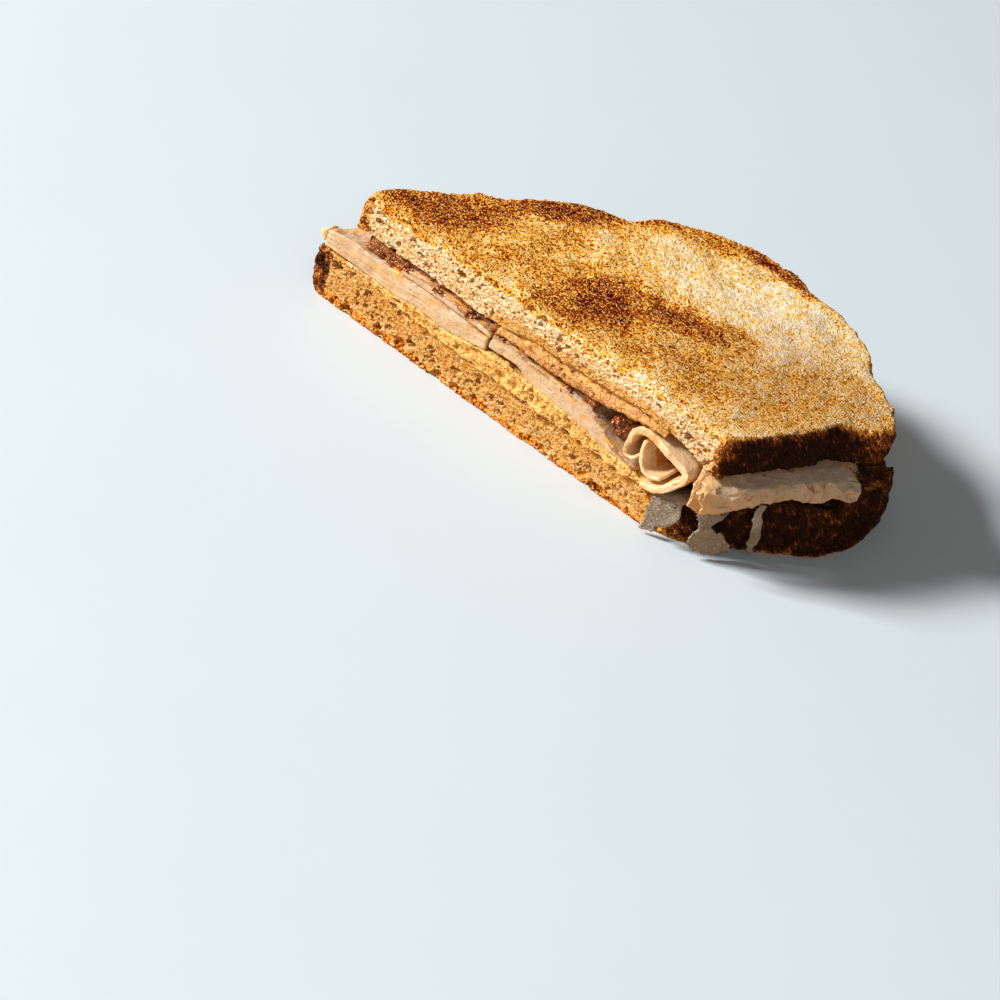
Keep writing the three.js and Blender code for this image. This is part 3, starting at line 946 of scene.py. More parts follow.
def finishes() -> dict[str, BreadFinish | MeatFinish | SoftFinish]:
    """Every finish of the sandwich, by its material's name."""
    return {
        "toasted_bread": BreadFinish(),
        "turkey": MeatFinish(threads=0.9, sparkle=0.4),
        "curled_turkey": MeatFinish(
            tone(230, 192, 144), tone(244, 220, 186), tone(224, 152, 66), roughness=0.26, relief=0.3,
        ),
        "hanging_turkey": MeatFinish(
            tone(222, 172, 114), tone(238, 202, 152), tone(168, 108, 46), far=tone(206, 190, 172),
            roughness=0.14, relief=0.6, sparkle=0.35,
        ),
        "thin_turkey": MeatFinish(
            tone(124, 121, 116), tone(164, 160, 156), tone(136, 106, 76), glint=tone(226, 230, 234),
            roughness=0.2, relief=0.5, sparkle=0.6,
        ),
        "melted_cheese": SoftFinish(
            tone(250, 206, 124), tone(206, 134, 14), roughness=0.34, glow=0.06, crumbs=2.4, relief=0.4,
            sparkle=0.25,
        ),
        "pale_cheese": SoftFinish(
            tone(220, 164, 80), tone(142, 76, 18), roughness=0.24, glow=0.06, crumbs=0.9, relief=0.3,
            sparkle=0.3,
        ),
        "relish": SoftFinish(
            tone(150, 84, 32), tone(54, 20, 7), roughness=0.12, glow=0.03, crumbs=1.8, relief=0.35,
            sparkle=0.6,
        ),
        "relish_bits": SoftFinish(
            tone(166, 84, 30), tone(90, 34, 10), roughness=0.1, glow=0.05, crumbs=0.6, relief=0.2,
            sparkle=0.4,
        ),
    }


@dataclass
class Survey:
    """Where each vertex of a slice lies on it, before the slice is sculpted."""

    points: Array
    normals: Array
    edge: Array
    along: Array
    inward: Array
    cut: Array
    up: Array
    down: Array
    toasted: Array
    rim: Array
    skin: Array
    inner_skin: Array


@dataclass
class Slice:
    """One slice of toasted bread, with its crumb open at the cut."""

    node: str
    name: str
    toasted: Side
    outline: Sequence[Pair]
    floor: float
    height: float
    patches: list[Patch]
    charring: list[Patch]
    bubbles: list[Bubbles]
    soak_line: list[Pair]
    toast_base: float
    seed: int
    dulled_patches: list[Patch] = field(default_factory=list)
    holes: list[Triple] = field(default_factory=list)
    cracks: list[Pair] = field(default_factory=list)
    worn_edge: float = 1.7
    worn_end: Triple = (4.5, 7.0, 14.0)
    crust_thickness: float = 1.6
    end_crust: float = 3.6
    fringe: float = 2.2
    damp: float = 0.0
    voxel: float = 0.5

    DEEP = 5.0
    LEVEL = 0.8
    CUT_DEPTH = 2.0
    HIDDEN_SHARE = 0.12
    RIM_STEP = 2.0
    FINE_DEPTH = 1.6
    FINE_FACING = 0.55
    FACING_CUT = (0.5, 0.8)
    FACING_LEVEL = (0.55, 0.85)
    WET_EDGE = (-1.4, 1.0)
    CRUMB_SWELL, CRUMB_WEB = 0.12, 0.26
    TOAST_SWELL, TOAST_WEB, TOAST_WAVES = 0.10, 0.34, 0.55
    CRUST_STREAKS, CRUST_LUMPS, CRUST_SLANT = 0.45, 0.5, 0.7
    HOLE_WALL = (0.3, 1.1)
    CRACK_WALL = (0.1, 1.1)
    CRACK_DEPTH = 0.9
    CRACK_SLANT = 0.25
    BURNT_ENDS = (112.0, 128.0)
    BURNT_BEHIND = (3.0, 9.0)
    BURNT_WIDTH = 1.6
    UNDER_CRUST = (9.0, 11.0)
    PIT_DEPTH = 0.2

    def build(self, nodes: dict[str, Object], finish: Material) -> None:
        """Builds the slice in place of its CAD node.

        Args:
            nodes: The CAD nodes.
            finish: The bread's material.
        """
        piece = Workpiece.from_node(nodes[self.node], self.name, self.voxel)
        centres, normals = piece.face_places()
        piece.divide((centres[:, 1] < self.FINE_DEPTH) & (normals[:, 1] < -self.FINE_FACING))
        piece.thin(self._hidden(piece, nodes), self.HIDDEN_SHARE)
        at, grain = self._survey(piece), Grain(self.seed)
        wet = self._wetness(at, grain)
        chart = rows(at.along, at.points[:, 2], at.edge)
        moved = at.points + at.normals * self._relief(at, wet, chart, grain)[:, None]
        moved = self._wear(moved, at, grain)
        piece.move(moved)
        wide_end = 1.0 - smoothstep(0.5, 1.6, (moved[:, 0] - self.outline[0][0]) / self.end_crust)
        self._brown(piece, moved, wide_end, at, grain)
        self._char(piece, moved, wide_end, at, grain)
        piece.paint("soak", np.maximum(wet, self.damp * at.cut))
        self._paint_pit_shade(piece, at)
        piece.chart("rim", chart)
        piece.finish(finish, "bread", self.node)

    def _hidden(self, piece: Workpiece, nodes: dict[str, Object]) -> Array:
        """A mask of what no view shows: the underside, and on the lower slice what the upper one covers."""
        points, normals = piece.points(), piece.normals()
        inside = points[:, 1] > self.DEEP
        low = (normals[:, 2] < -self.LEVEL) & inside
        if self.toasted is Side.TOP:
            return low
        above = surface_of(nodes["bread_upper"])
        covered = np.zeros(len(points), bool)
        for i in np.flatnonzero((normals[:, 2] > self.LEVEL) & inside):
            covered[i] = above.ray_cast(Vector(metres(points[i])), Vector((0, 0, 1)))[0] is not None
        return low | covered

    def _survey(self, piece: Workpiece) -> Survey:
        """Finds where each vertex lies on the slice."""
        points, normals = piece.points(), piece.normals()
        edge, along, inward = distance_to(rounded_line(self.outline), points)
        cut = smoothstep(*self.FACING_CUT, -normals[:, 1]) * (points[:, 1] < self.CUT_DEPTH) * (edge > 0.01)
        up, down = (smoothstep(*self.FACING_LEVEL, way) for way in (normals[:, 2], -normals[:, 2]))
        rim = np.clip(1.0 - cut - up - down, 0.0, 1.0)
        if self.toasted is Side.TOP:
            toasted, skin = up, self.floor + self.height - points[:, 2]
        else:
            toasted, skin = down, points[:, 2] - self.floor
        inner_skin = self.height - skin
        return Survey(points, normals, edge, along, inward, cut, up, down, toasted, rim, skin, inner_skin)

    def _wetness(self, at: Survey, grain: Grain) -> Array:
        """How wet the fillings have made the cut face, from 0 to 1."""
        depth = np.interp(at.points[:, 0], *np.array(self.soak_line).T)
        wet = 1.0 - smoothstep(*self.WET_EDGE, at.inner_skin - depth + 1.2 * grain.cloud(at.points, 4.0, 3))
        return wet * at.cut

    def _relief(self, at: Survey, wet: Array, chart: Array, grain: Grain) -> Array:
        """How far each vertex goes out, with pores, torn crumb, toasted skin and a streaked, cracked crust.

        Args:
            at: Where the vertices lie.
            wet: How wet they are.
            chart: Their places along the crust, over the floor and in from the crust.
            grain: The slice's noise.

        Returns:
            The distances, in millimetres.
        """
        points = at.points
        open_face = (at.cut > 0.4) | ((points[:, 1] < self.CUT_DEPTH) & (at.edge > 0.3))
        depths = np.zeros(len(points))
        for family in self.bubbles:
            depths = np.maximum(depths, family.carve(points, at.normals, open_face))
        inner = smoothstep(0.4, 2.6, at.edge + 0.7 * grain.cloud(points, 2.5, 2))
        push = -depths * ((0.25 + 0.65 * inner) * (1.0 - 0.6 * wet))
        for x, y, radius in self.holes:
            gap = np.hypot((points[:, 0] - x) * 0.8, points[:, 1] - y) + 0.3 * grain.cloud(points, 1.5, 2)
            push -= at.toasted * 0.9 * radius * (1.0 - smoothstep(*self.HOLE_WALL, gap / radius))
        web = grain.web(points, (1.5, 1.0, 1.0))
        push += at.cut * (self.CRUMB_SWELL - self.CRUMB_WEB * web - self.CRUMB_WEB * grain.fine_web(points))
        waves = self.TOAST_WAVES * grain.cloud(points, 8.0, 3)
        push += at.toasted * (self.TOAST_SWELL - self.TOAST_WEB * web + waves)
        slanted = chart + rows(self.CRUST_SLANT * points[:, 2], 0.0, 0.0)
        streaks = self.CRUST_STREAKS * grain.cloud(slanted, (1.8, 12.0, 4.0), 2)
        push += at.rim * (streaks + self.CRUST_LUMPS * grain.cloud(points, 1.7, 3))
        for x, y in self.cracks:
            spot = distance_to(rounded_line(self.outline), np.array([[x, y, 0.0]]))[1][0]
            gap = np.abs(at.along - spot - self.CRACK_SLANT * (self.floor + self.height - points[:, 2]))
            push -= at.rim * self.CRACK_DEPTH * (1.0 - smoothstep(*self.CRACK_WALL, gap))
        return push

    def _wear(self, points: Array, at: Survey, grain: Grain) -> Array:
        """Rounds the edges of the cut face, and the slice's left end more than the rest.

        Args:
            points: The vertices with their relief.
            at: Where they lay.
            grain: The slice's noise.

        Returns:
            The moved vertices.
        """
        moved = points.copy()
        top, bottom = (self.floor + self.height, 1.0), (self.floor, -1.0)
        for level, sign in (top, bottom):
            toasted = (sign > 0) == (self.toasted is Side.TOP)
            skin = sign * (level - moved[:, 2])
            worn = self.worn_edge * (1.0 + 0.75 * grain.cloud(points, (4.0, 9.0, 9.0), 2))
            worn = np.clip(worn, 0.3, None) * (1.0 if toasted else 0.25)
            u, v = 1.0 - moved[:, 1] / worn, 1.0 - skin / worn
            shift = worn * rounding(u, v)
            moved[:, 1] += shift * u
            moved[:, 2] -= sign * shift * v
        wide, tall, reach = self.worn_end
        level, sign = top if self.toasted is Side.TOP else bottom
        near = 1.0 - smoothstep(4.0, reach, points[:, 0] - self.outline[0][0])
        u = 1.0 - at.edge / (wide * near + 1e-3)
        v = 1.0 - sign * (level - moved[:, 2]) / (tall * near + 1e-3)
        share = rounding(u, v) * near
        moved += at.inward * (share * u * wide)[:, None]
        moved[:, 2] -= sign * share * v * tall
        moved[:, 2] = np.maximum(moved[:, 2], 0.0)
        return moved

    def _brown(self, piece: Workpiece, points: Array, wide_end: Array, at: Survey, grain: Grain) -> None:
        """Paints the crust, the toasted face with its fringe on the cut, and the patches where the top is
        darker and greyer.

        Args:
            piece: The slice.
            points: Its vertices as they are now.
            wide_end: How near they are to the slice's left end, where the crust is thicker.
            at: Where they lay.
            grain: The slice's noise.
        """
        ragged = at.edge + 0.9 * grain.cloud(points, 3.0, 3)
        thickness = self.crust_thickness + (self.end_crust - self.crust_thickness) * wide_end
        on_cut = 1.0 - smoothstep(thickness - 0.4, thickness + 1.2, ragged)
        on_top = 1.0 - smoothstep(0.5, 2.0, ragged)
        if self.toasted is Side.UNDER:
            on_top = np.where(at.up > 0.3, 1.0 - smoothstep(*self.UNDER_CRUST, ragged), on_top)
        crust = np.maximum(at.rim, np.maximum(at.cut * on_cut, (1.0 - at.cut) * on_top))
        drift = 3.0 * grain.cloud(points, 9.0, 4), 3.0 * grain.cloud(points + 50, 9.0, 4)
        spots = points + rows(*drift, 0.0)
        burnt = 1.0 - smoothstep(*self.BURNT_ENDS, points[:, 0])
        burnt = burnt * smoothstep(*self.BURNT_BEHIND, points[:, 1])
        toast = layered(self.patches, spots, self.toast_base)
        near_edge = fading(at.edge + 0.8 * grain.cloud(points, 3.0, 2), self.BURNT_WIDTH)
        toast = toast + 0.26 * burnt * near_edge
        toast = np.clip(toast + 0.09 * grain.cloud(points, 9.0, 4), 0.02, 1.0)
        reach = self.fringe * (0.5 + 1.8 * toast) * (1.0 + 0.8 * grain.cloud(points, (5.0, 9.0, 9.0), 3))
        fringe = at.cut * (1.0 - smoothstep(0.5 * reach, reach + 1.2, at.skin))
        piece.paint("toast", np.maximum(at.toasted * toast, fringe * np.clip(0.85 * toast + 0.08, 0.0, 0.5)))
        piece.paint("crust", crust)
        piece.paint("tan", np.clip(layered(self.dulled_patches, spots), 0.0, 1.0) * (1.0 - crust))

    def _below_rim(self, points: Array, along: Array, rim: Array) -> Array:
        """How far each vertex lies from the toasted face, by the crust's own height there.

        Args:
            points: The vertices.
            along: Their places along the crust line.
            rim: Which of them are on the crust.

        Returns:
            The distances, in millimetres.
        """
        sign = 1.0 if self.toasted is Side.TOP else -1.0
        places = np.clip((along / self.RIM_STEP).astype(int), 0, None)
        level = np.full(places.max() + 1, -np.inf)
        np.maximum.at(level, places[rim], sign * points[rim, 2])
        found = np.flatnonzero(np.isfinite(level))
        spots = np.arange(len(level))
        level = np.interp(spots, found, level[found])
        return np.interp(along, (spots + 0.5) * self.RIM_STEP, level) - sign * points[:, 2]

    def _char(self, piece: Workpiece, points: Array, wide_end: Array, at: Survey, grain: Grain) -> None:
        """Paints how burnt the crust is: by its patches, and less near the slice's faces and the cut.

        Args:
            piece: The slice.
            points: Its vertices as they are now.
            wide_end: How near they are to the slice's left end.
            at: Where they lay.
            grain: The slice's noise.
        """
        near_cut = 0.85 * fading(points[:, 1] - 1.0, 1.6) + at.cut
        near_cut = np.clip(near_cut, 0.0, 1.0) * (1.0 - 0.55 * wide_end)
        depth = self._below_rim(points, at.along, at.rim > 0.4) + 0.6 * grain.cloud(points, 2.2, 2)
        depth = np.where(at.cut > 0.5, at.skin, depth)
        near_face = 0.5 * fading(depth, 1.8) + 0.5 * fading(depth, 0.6) + 0.2 * fading(at.inner_skin, 0.8)
        char = layered(self.charring, points)
        char = char + 0.36 * grain.cloud(points, 2.6, 3) - 0.62 * near_cut - near_face
        if self.toasted is Side.UNDER:
            char -= 0.16 * at.up
        piece.paint("char", np.clip(char, 0.0, 1.0))

    @staticmethod
    def _paint_pit_shade(piece: Workpiece, at: Survey) -> None:
        """Paints shade into the pits, by how deep they lie and how steep their walls are, so the crumb is
        darker there.
        """
        after = piece.normals()
        steep = 1.0 + at.cut * after[:, 1] - at.up * after[:, 2] + at.down * after[:, 2]
        steep = np.where(np.maximum(np.maximum(at.cut, at.up), at.down) > 0.9, steep, 0.0)
        pit = 0.5 * piece.hollows() / Slice.PIT_DEPTH + 1.6 * np.clip(steep - 0.08, 0.0, 1.0)
        piece.paint("pit", np.clip(pit, -0.6, 1.0))


@dataclass
class TurkeySlab:
    """A stack of turkey slices that shows its layers at the cut."""

    node: str
    name: str
    layer: float
    stained_top: float
    seed: int
    voxel: float = 0.5

    SHEET_STEP = 31.0
    GROOVE_DEPTH = 0.3
    GROOVE_WALL = (0.02, 0.2)
    SEAM_SHOWS = (0.62, 0.78)
    FACING_CUT = (0.3, 0.7)
    FINE_DEPTH = 1.5
    DEEP = 6.0
    HIDDEN_SHARE = 0.1

    def build(self, nodes: dict[str, Object], finish: Material) -> None:
        """Builds the slab in place of its CAD node.

        Args:
            nodes: The CAD nodes.
            finish: The meat's material.
        """
        piece = Workpiece.from_node(nodes[self.node], self.name, self.voxel)
        piece.divide(piece.face_places()[0][:, 1] < self.FINE_DEPTH)
        piece.thin(piece.points()[:, 1] > self.DEEP, self.HIDDEN_SHARE)
        self._sculpt(piece)
        piece.finish(finish, "turkey", self.node)

    def _sculpt(self, piece: Workpiece) -> None:
        """Parts the layers at the cut and paints their seams and the stained top."""
        points, normals = piece.points(), piece.normals()
        grain = Grain(self.seed)
        low, high = piece.limits()
        count = (points[:, 2] - low) / self.layer + 0.35 * grain.cloud(points, (14.0, 9.0, 4.0), 2)
        sheet = np.floor(count)
        part = count - sheet
        groove = 1.0 - smoothstep(*self.GROOVE_WALL, np.minimum(part, 1.0 - part))
        strip = rows(points[:, 0], sheet * self.SHEET_STEP, 0.0)
        seen = smoothstep(*self.SEAM_SHOWS, grain.at(strip, (7.0, self.SHEET_STEP, 9.0)))
        facing = smoothstep(*self.FACING_CUT, -normals[:, 1])
        proud = (grain.at(strip, (8.0, self.SHEET_STEP, 9.0)) - 0.5) * 0.5
        push = facing * (proud - self.GROOVE_DEPTH * groove * seen) + 0.16 * grain.cloud(points, 2.6, 2)
        push += facing * 0.22 * grain.cloud(points, (9.0, 4.0, 3.0), 2)
        piece.push(push)
        piece.paint("seam", facing * groove * seen)
        piece.paint("fade", np.zeros(len(points)))
        skin = high - points[:, 2] + 0.7 * grain.cloud(points, 4.0, 3)
        rim = 1.0 - smoothstep(0.0, self.stained_top, skin)
        piece.paint("stain_and_shade", facing * rim * 0.75 + (1 - facing) * (0.42 + 0.45 * grain.cloud(points, 5.0, 3)))


@dataclass
class TurkeyLeaf:
    """A thin slice of turkey that hangs, curls or folds at the sandwich's right end."""

    NOWHERE = (1e3, 1e4)
    LIP_PUSH = (0.69, -0.69, 0.2)
    LIP_WIDTH = (-0.25, 0.25)
    LIP_FADES = (5.0, 14.0)
    SPOT_EDGE = (0.35, 0.8)

    node: str
    name: str
    seed: int
    ragged: float = 0.6
    stain_and_shade: float = 0.1
    fades: Pair = NOWHERE
    shade: Pair = NOWHERE
    lip: float | None = None
    crumple: float = 0.12
    voxel: float = 0.3

    def build(self, nodes: dict[str, Object], finish: Material) -> None:
        """Builds the leaf in place of its CAD node.

        Args:
            nodes: The CAD nodes.
            finish: The leaf's material.
        """
        piece = Workpiece.from_node(nodes[self.node], self.name, self.voxel)
        piece.modify("SMOOTH", iterations=2, factor=0.5)
        points, square = piece.points(), piece.sheet_normals()
        grain = Grain(self.seed)
        warp = grain.drift(points, 2.2, 3)
        warp -= square * (warp * square).sum(1)[:, None]
        folds = self.crumple * (grain.cloud(points, 5.0, 2) + 0.5 * grain.cloud(points, 1.8, 2))
        faded = smoothstep(*self.fades, points[:, 0] + 3.0 * grain.cloud(points, 6.0, 2))
        moved = points + self.ragged * warp + square * folds[:, None]
        past_lip = np.ones(len(points))
        if self.lip is not None:
            beyond = points[:, 0] - self.lip
            past_lip = smoothstep(*self.LIP_WIDTH, beyond + grain.cloud(points, 2.5, 2))
            creases = 1.5 * faded * (0.35 - np.abs(grain.cloud(points, (4.5, 4.5, 3.0), 2)))
            step = 0.9 * (past_lip - 0.5) * (1.0 - smoothstep(*self.LIP_FADES, beyond))
            moved += np.outer(step + creases, self.LIP_PUSH)
        piece.move(moved)
        points = piece.points()
        spots = smoothstep(*self.SPOT_EDGE, grain.cloud(points, 3.0, 3))
        # Painted shade: darker deeper into the roll and in the flap's hollow left of its lip, over the leaf's
        # real spots.
        deep = smoothstep(*self.shade, points[:, 1] + 1.2 * grain.cloud(points, 4.0, 2))
        piece.paint("stain_and_shade", self.stain_and_shade + 0.5 * spots + 0.45 * deep + 0.35 * (1.0 - past_lip))
        piece.paint("seam", np.zeros(len(points)))
        piece.paint("fade", faded)
        piece.finish(finish, "turkey", self.node)


@dataclass
class SoftLayer:
    """A layer of cheese or relish, lumpy where it shows at the cut."""

    node: str
    name: str
    slot: str
    lumps: float
    lump_size: float
    spots: float
    seed: int
    swell: float = 0.0
    sunk: float = 0.0
    pores: float = 0.0
    lean: float = 0.0
    foot: float = 0.0
    voxel: float = 0.3

    DEEP = 6.0
    HIDDEN_SHARE = 0.1
    CUT_FADES = (0.8, 3.0)
    FACING_CUT = (0.4, 0.8)
    FACING_LEVEL = (0.3, 0.7)
    THINNEST = 0.5
    LEAN_RISE = (0.1, 0.9)
    FOOT_RISE = (0.15, 0.7)
    SPOT_EDGE = (0.3, 0.8)
    HOLLOW_DEPTH = 0.3

    def build(self, nodes: dict[str, Object], finish: Material) -> None:
        """Builds the layer in place of its CAD node.

        Args:
            nodes: The CAD nodes.
            finish: The layer's material.
        """
        piece = Workpiece.from_node(nodes[self.node], self.name, self.voxel)
        piece.thin(piece.points()[:, 1] > self.DEEP, self.HIDDEN_SHARE)
        points, normals = piece.points(), piece.normals()
        grain = Grain(self.seed)
        at_cut = 1.0 - smoothstep(*self.CUT_FADES, points[:, 1])
        front = smoothstep(*self.FACING_CUT, -normals[:, 1]) * at_cut
        level = smoothstep(*self.FACING_LEVEL, np.abs(normals[:, 2])) * at_cut
        bubbles = Bubbles(self.pores, 0.2, 0.6, (0.0, 0.5), 1.4, 0.4, self.seed)
        pores = bubbles.carve(points, normals, front > 0.5)
        lumps = self.lumps * (grain.cloud(points, self.lump_size, 3) - 0.5 * front * grain.fine_web(points))
        piece.push(lumps + self.swell * level - self.sunk * front - pores)
        low, high = piece.limits()
        moved = piece.points()
        above = (moved[:, 2] - low) / np.maximum(high - low, self.THINNEST)
        moved[:, 1] += self.lean * at_cut * smoothstep(*self.LEAN_RISE, above)
        piece.move(moved)
        # Painted shade: the layer is darker in its hollows, added to its real spots.
        hollow = np.clip(piece.hollows() / self.HOLLOW_DEPTH, -0.6, 1.0)
        foot = 1.0 - smoothstep(*self.FOOT_RISE, above + 0.1 * grain.cloud(points, 3.0, 2))
        stain_and_shade = self.spots * (smoothstep(*self.SPOT_EDGE, grain.cloud(points, 3.0, 2)) + hollow)
        piece.paint("stain_and_shade", stain_and_shade + self.foot * foot * at_cut)
        piece.finish(finish, self.slot, self.node)


@dataclass
class Seeds:
    """Seeds and grains of the relish that stand out along the cut."""

    places: list[Triple]
    name: str = "relish_seeds"
    length: float = 1.0
    around: float = 1.2
    across: float = 0.6
    group: int = 7
    seed: int = 41

    CARRIERS = ("turkey_left", "turkey_middle", "turkey_right", "relish_layer", "relish_heap")
    SHAPE = (1.0, 0.75, 0.55)
    SIZES = (0.35, 0.9)
    TURNS = (0.0, 3.0)

    def build(self, nodes: dict[str, Object], finish: Material) -> None:
        """Builds the seeds, each set half into what it lies on.

        Args:
            nodes: The CAD nodes that carry them.
            finish: The relish's material.
        """
        random = np.random.default_rng(self.seed)
        carriers = [surface_of(nodes[label]) for label in self.CARRIERS]
        bpy.ops.object.select_all(action="DESELECT")
        made = []
        for x, y, z in self.places:
            for _ in range(self.group):
                away = random.normal(size=3) * (self.around, self.across, self.across)
                spot = place(x + away[0], y + away[1], z + away[2])
                found = min((tree.find_nearest(spot) for tree in carriers), key=lambda hit: hit[3])
                size = self.length * random.uniform(*self.SIZES)
                bpy.ops.mesh.primitive_ico_sphere_add(
                    subdivisions=2, radius=size * MM, location=found[0],
                    rotation=tuple(random.uniform(*self.TURNS, 3)), scale=self.SHAPE,
                )
                made.append(bpy.context.view_layer.objects.active)
        for seed in made:
            seed.select_set(True)
        bpy.ops.object.join()
        bpy.ops.object.transform_apply()
        piece, grain = Workpiece(bpy.context.view_layer.objects.active), Grain(self.seed)
        piece.obj.name = self.name
        piece.push(0.12 * grain.cloud(piece.points(), 0.8, 2))
        piece.paint("stain_and_shade", 0.15 + 0.9 * grain.cloud(piece.points(), 1.6, 2))
        piece.finish(finish, "relish")


def upper_slice() -> Slice:
    """The upper slice, toasted on its top."""
    return Slice(
        node="bread_upper",
        name="upper_slice",
        toasted=Side.TOP,
        outline=UPPER_CRUST,
        floor=25.9,
        height=12.4,
        patches=[
            Patch((73, 24), (31, 15), 38, 0.32),
            Patch((70, 16), (9, 17), 5, 0.18),
            Patch((92, 36), (17, 11), 20, 0.32),
            Patch((64, 2), (15, 9), 0, 0.14),
            Patch((46, 25), (46, 28), 30, 0.12),
            Patch((84, 13), (32, 13), 8, 0.11),
            Patch((94, 54), (40, 26), 20, -0.12),
            Patch((17, 19), (24, 13), 50, 0.40),
            Patch((5, 13), (9, 7), 60, 0.16),
            Patch((34, 47), (22, 8), 48, 0.50),
            Patch((51, 67), (11, 6), 45, 0.36),
            Patch((70, 75), (19, 6), 20, 0.26),
            Patch((88, 79), (18, 4.5), -6, 0.46),
            Patch((25, 6), (34, 12), 8, 0.10),
            Patch((118, 38), (26, 18), 0, 0.04),
            Patch((106, 16), (30, 16), 10, 0.08),
        ],
        charring=[
            Patch((136, 22), (55, 60), 0, 1.0),
            Patch((152, 42), (15, 18), 0, -0.4),
            Patch((5, 10), (40, 30), 45, 0.42),
            Patch((60, 75), (70, 40), 0, 0.45),
        ],
        bubbles=[
            Bubbles(0.45, 0.2, 0.5, (0.1, 0.6), 1.4, 0.4, seed=5),
            Bubbles(0.05, 0.4, 0.9, (0.0, 0.5), 1.5, 0.5, seed=6),
            Bubbles(0.01, 0.9, 1.5, (0.1, 0.6), 1.6, 0.6, seed=16),
        ],
        soak_line=[(42, -0.5), (52, 4.2), (66, 5.6), (80, 6.6), (100, 7.4), (110, 6.4), (117, -0.5)],
        toast_base=0.20,
        dulled_patches=[Patch((128, 35), (46, 38), 0, 0.95), Patch((92, 14), (26, 12), 10, 0.35)],
        holes=[
            (3, 47, 0.1), (38, 35.5, 0.7), (44.5, 10.5, 0.7), (37, 3, 0.6), (43, 50, 0.8), (135, 44.5, 0.7),
            (90.5, 40.5, 0.6),
        ],
        cracks=[(138.6, 33.4), (134, 20)],
        seed=3,
    )


def lower_slice() -> Slice:
    """The lower slice, toasted on its underside."""
    return Slice(
        node="bread_lower",
        name="lower_slice",
        toasted=Side.UNDER,
        outline=LOWER_CRUST,
        floor=0.0,
        height=14.5,
        patches=[
            Patch((40, 20), (30, 16), 20, 0.3),
            Patch((95, 40), (34, 20), 40, 0.35),
            Patch((20, 50), (60, 14), 45, 0.2),
        ],
        charring=[
            Patch((-10, 8), (26, 30), 0, 0.72),
            Patch((142, 28), (62, 75), 0, 0.97),
            Patch((60, 75), (80, 40), 0, 0.3),
        ],
        bubbles=[
            Bubbles(0.5, 0.2, 0.55, (0.1, 0.6), 1.4, 0.4, seed=7),
            Bubbles(0.07, 0.45, 1.0, (0.0, 0.5), 1.5, 0.5, seed=8),
            Bubbles(0.016, 1.0, 1.9, (0.1, 0.6), 1.5, 0.6, seed=18),
        ],
        soak_line=[(-10, -0.5), (4, 1.0), (14, 7.0), (60, 8.5), (95, 8.0), (108, 6.0)],
        toast_base=0.3,
        worn_edge=0.9,
        end_crust=6.0,
        fringe=2.4,
        damp=0.85,
        seed=4,
    )


def fillings() -> list[tuple[str, TurkeySlab | TurkeyLeaf | SoftLayer | Seeds]]:
    """Everything between the slices, with the name of its finish."""
    melted = SoftLayer(
        "cheese_melted", "melted_yellow_cheese", "yellow_cheese", lumps=0.7, lump_size=2.4, spots=0.55,
        seed=31, swell=0.5, pores=0.12,
    )
    film = SoftLayer(
        "cheese_film", "pale_cheese_film", "pale_cheese", lumps=0.45, lump_size=2.4, spots=0.4, seed=32,
        swell=0.7, sunk=0.2, pores=0.1, lean=1.9, foot=0.6,
    )
    spread = SoftLayer(
        "relish_layer", "relish_spread", "relish", lumps=0.8, lump_size=1.8, spots=0.9, seed=33, voxel=0.4,
    )
    mound = SoftLayer("relish_heap", "relish_mound", "relish", lumps=0.9, lump_size=1.8, spots=0.9, seed=34)
    seeds = Seeds([
        (15, 1.5, 22.5), (19, 1.0, 24.5), (30, 1.0, 25.2), (42, 1.0, 24.0), (53, 1.0, 23.8), (76, 1.0, 22.4),
        (88, 1.0, 21.0), (92, 1.0, 21.5), (94, 1.5, 23.5), (95, 1.5, 20.0),
    ])
    flap = TurkeyLeaf("turkey_flap", "turkey_hanging_flap", 23, ragged=0.7, fades=(119.0, 141.0), lip=125.6)
    return [
        ("turkey", TurkeySlab("turkey_left", "turkey_left_slab", layer=1.35, stained_top=1.0, seed=11)),
        ("turkey", TurkeySlab("turkey_middle", "turkey_middle_slab", layer=1.2, stained_top=1.4, seed=12)),
        ("turkey", TurkeySlab("turkey_right", "turkey_right_slab", layer=1.3, stained_top=2.4, seed=13)),
        ("curled_turkey", TurkeyLeaf("turkey_curl", "turkey_roll", 21, shade=(1.5, 6.0))),
        ("curled_turkey", TurkeyLeaf("turkey_curl_fold", "turkey_roll_fold", 22, shade=(2.5, 7.0))),
        ("curled_turkey", TurkeyLeaf("turkey_fold", "turkey_small_fold", 24, ragged=0.3)),
        ("curled_turkey", TurkeyLeaf("turkey_tip", "turkey_left_tip", 29, voxel=0.2)),
        ("hanging_turkey", flap),
        ("thin_turkey", TurkeyLeaf("turkey_sheet", "turkey_thin_sheet", 25, ragged=0.9, voxel=0.25)),
        ("thin_turkey", TurkeyLeaf("turkey_flake", "turkey_flake_piece", 26, ragged=0.9, voxel=0.25)),
        ("thin_turkey", TurkeyLeaf("turkey_strip", "turkey_narrow_strip", 27, ragged=0.7, voxel=0.25)),
        ("thin_turkey", TurkeyLeaf("turkey_scrap", "turkey_ragged_scrap", 28, ragged=0.8, voxel=0.25)),
        ("melted_cheese", melted),
        ("pale_cheese", film),
        ("relish", spread),
        ("relish", mound),
        ("relish_bits", seeds),
    ]


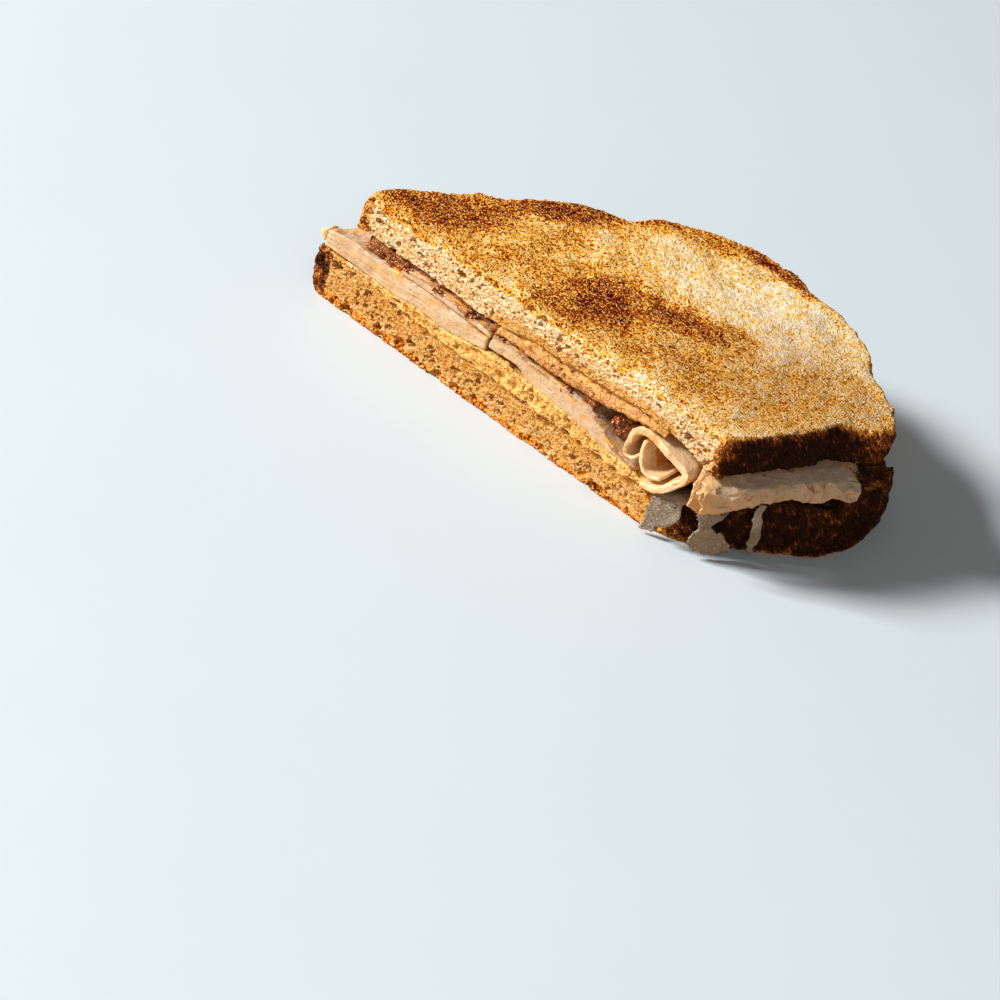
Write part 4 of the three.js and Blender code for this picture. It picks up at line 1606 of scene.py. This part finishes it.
@dataclass
class Studio:
    """A pale floor, soft lights and the camera."""

    azimuth: float = 30.88
    elevation: float = 35.0
    roll: float = 17.12
    eye: Triple = (449.33, -637.96, 500.19)
    lens: float = 122.4
    floor_size: float = 4.0
    target: Triple = (65, 30, 20)
    sensor: float = 36.0
    view_reach: float = 20.0
    floor_tones: tuple[Triple, Triple] = (tone(202, 219, 237), tone(205, 222, 240))
    floor_bounce: Triple = tone(205, 168, 122)
    floor_roughness: float = 0.7
    light_size: float = 700
    room_colour: Triple = (1.0, 0.86, 0.68)
    room_strength: float = 0.15

    def build(self) -> None:
        """Builds the floor, the lights, the room and the camera."""
        self._floor()
        self._light("key", (-1900, -1431, 1766), 162.0, (1.0, 0.93, 0.81))
        self._light("fill", (620, -560, 520), 1.2, (1.0, 0.96, 0.90))
        world = bpy.data.worlds.new("room")
        world.use_nodes = True
        background = world.node_tree.nodes["Background"].inputs
        background["Color"].default_value = (*self.room_colour, 1.0)
        background["Strength"].default_value = self.room_strength
        bpy.context.scene.world = world
        bpy.context.scene.view_settings.view_transform = "Standard"
        self._camera()

    def _floor(self) -> None:
        """A wide pale floor just under the sandwich, warmer in the light that it throws back."""
        bpy.ops.object.select_all(action="DESELECT")
        bpy.ops.mesh.primitive_plane_add(size=self.floor_size)
        floor = bpy.context.view_layer.objects.active
        floor.name = "floor"
        nodes = Surface("floor_paint")
        paint = nodes.mix(nodes.noise(60.0), *self.floor_tones)
        seen = nodes.outputs(nodes.add("LightPath"))["Is Camera Ray"]
        colour = nodes.mix(seen, self.floor_bounce, paint)
        floor.data.materials.append(nodes.coat(colour, self.floor_roughness))

    def _light(self, name: str, spot: Triple, power: float, colour: Triple) -> None:
        """A square soft light that looks at the sandwich.

        Args:
            name: Its name.
            spot: Its place, in millimetres.
            power: Its power, in watts.
            colour: Its colour.
        """
        light = bpy.data.lights.new(name, "AREA")
        light.size, light.energy, light.color = self.light_size * MM, power, colour
        lamp = bpy.data.objects.new(name, light)
        bpy.context.scene.collection.objects.link(lamp)
        lamp.location = place(*spot)
        lamp.rotation_euler = (place(*self.target) - lamp.location).to_track_quat("-Z", "Y").to_euler()

    def _camera(self) -> None:
        """The camera at the photograph's angle, turned as its frame is."""
        a, e, r = (math.radians(v) for v in (self.azimuth, self.elevation, self.roll))
        back = Vector((math.sin(a) * math.cos(e), -math.cos(a) * math.cos(e), math.sin(e)))
        right = Vector((math.cos(a), math.sin(a), 0.0))
        up = back.cross(right)
        across = right * math.cos(r) + up * math.sin(r)
        upright = up * math.cos(r) - right * math.sin(r)
        data = bpy.data.cameras.new("camera")
        data.lens, data.sensor_width, data.clip_end = self.lens, self.sensor, self.view_reach
        camera = bpy.data.objects.new("camera", data)
        bpy.context.scene.collection.objects.link(camera)
        turned = Matrix((across, upright, back)).transposed().to_4x4()
        camera.matrix_world = Matrix.Translation(place(*self.eye)) @ turned
        bpy.context.scene.camera = camera


def main() -> None:
    """Builds the sandwich piece by piece and sets up the studio."""
    logging.basicConfig(level=logging.INFO, format="%(message)s")
    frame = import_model()
    nodes = frame["nodes"]
    effects = Effects()
    made = {name: finish.build(name, effects) for name, finish in finishes().items()}
    for bread in (upper_slice(), lower_slice()):
        bread.build(nodes, made["toasted_bread"])
    for finish, filling in fillings():
        filling.build(nodes, made[finish])
    Studio().build()


if __name__ == "__main__":
    main()
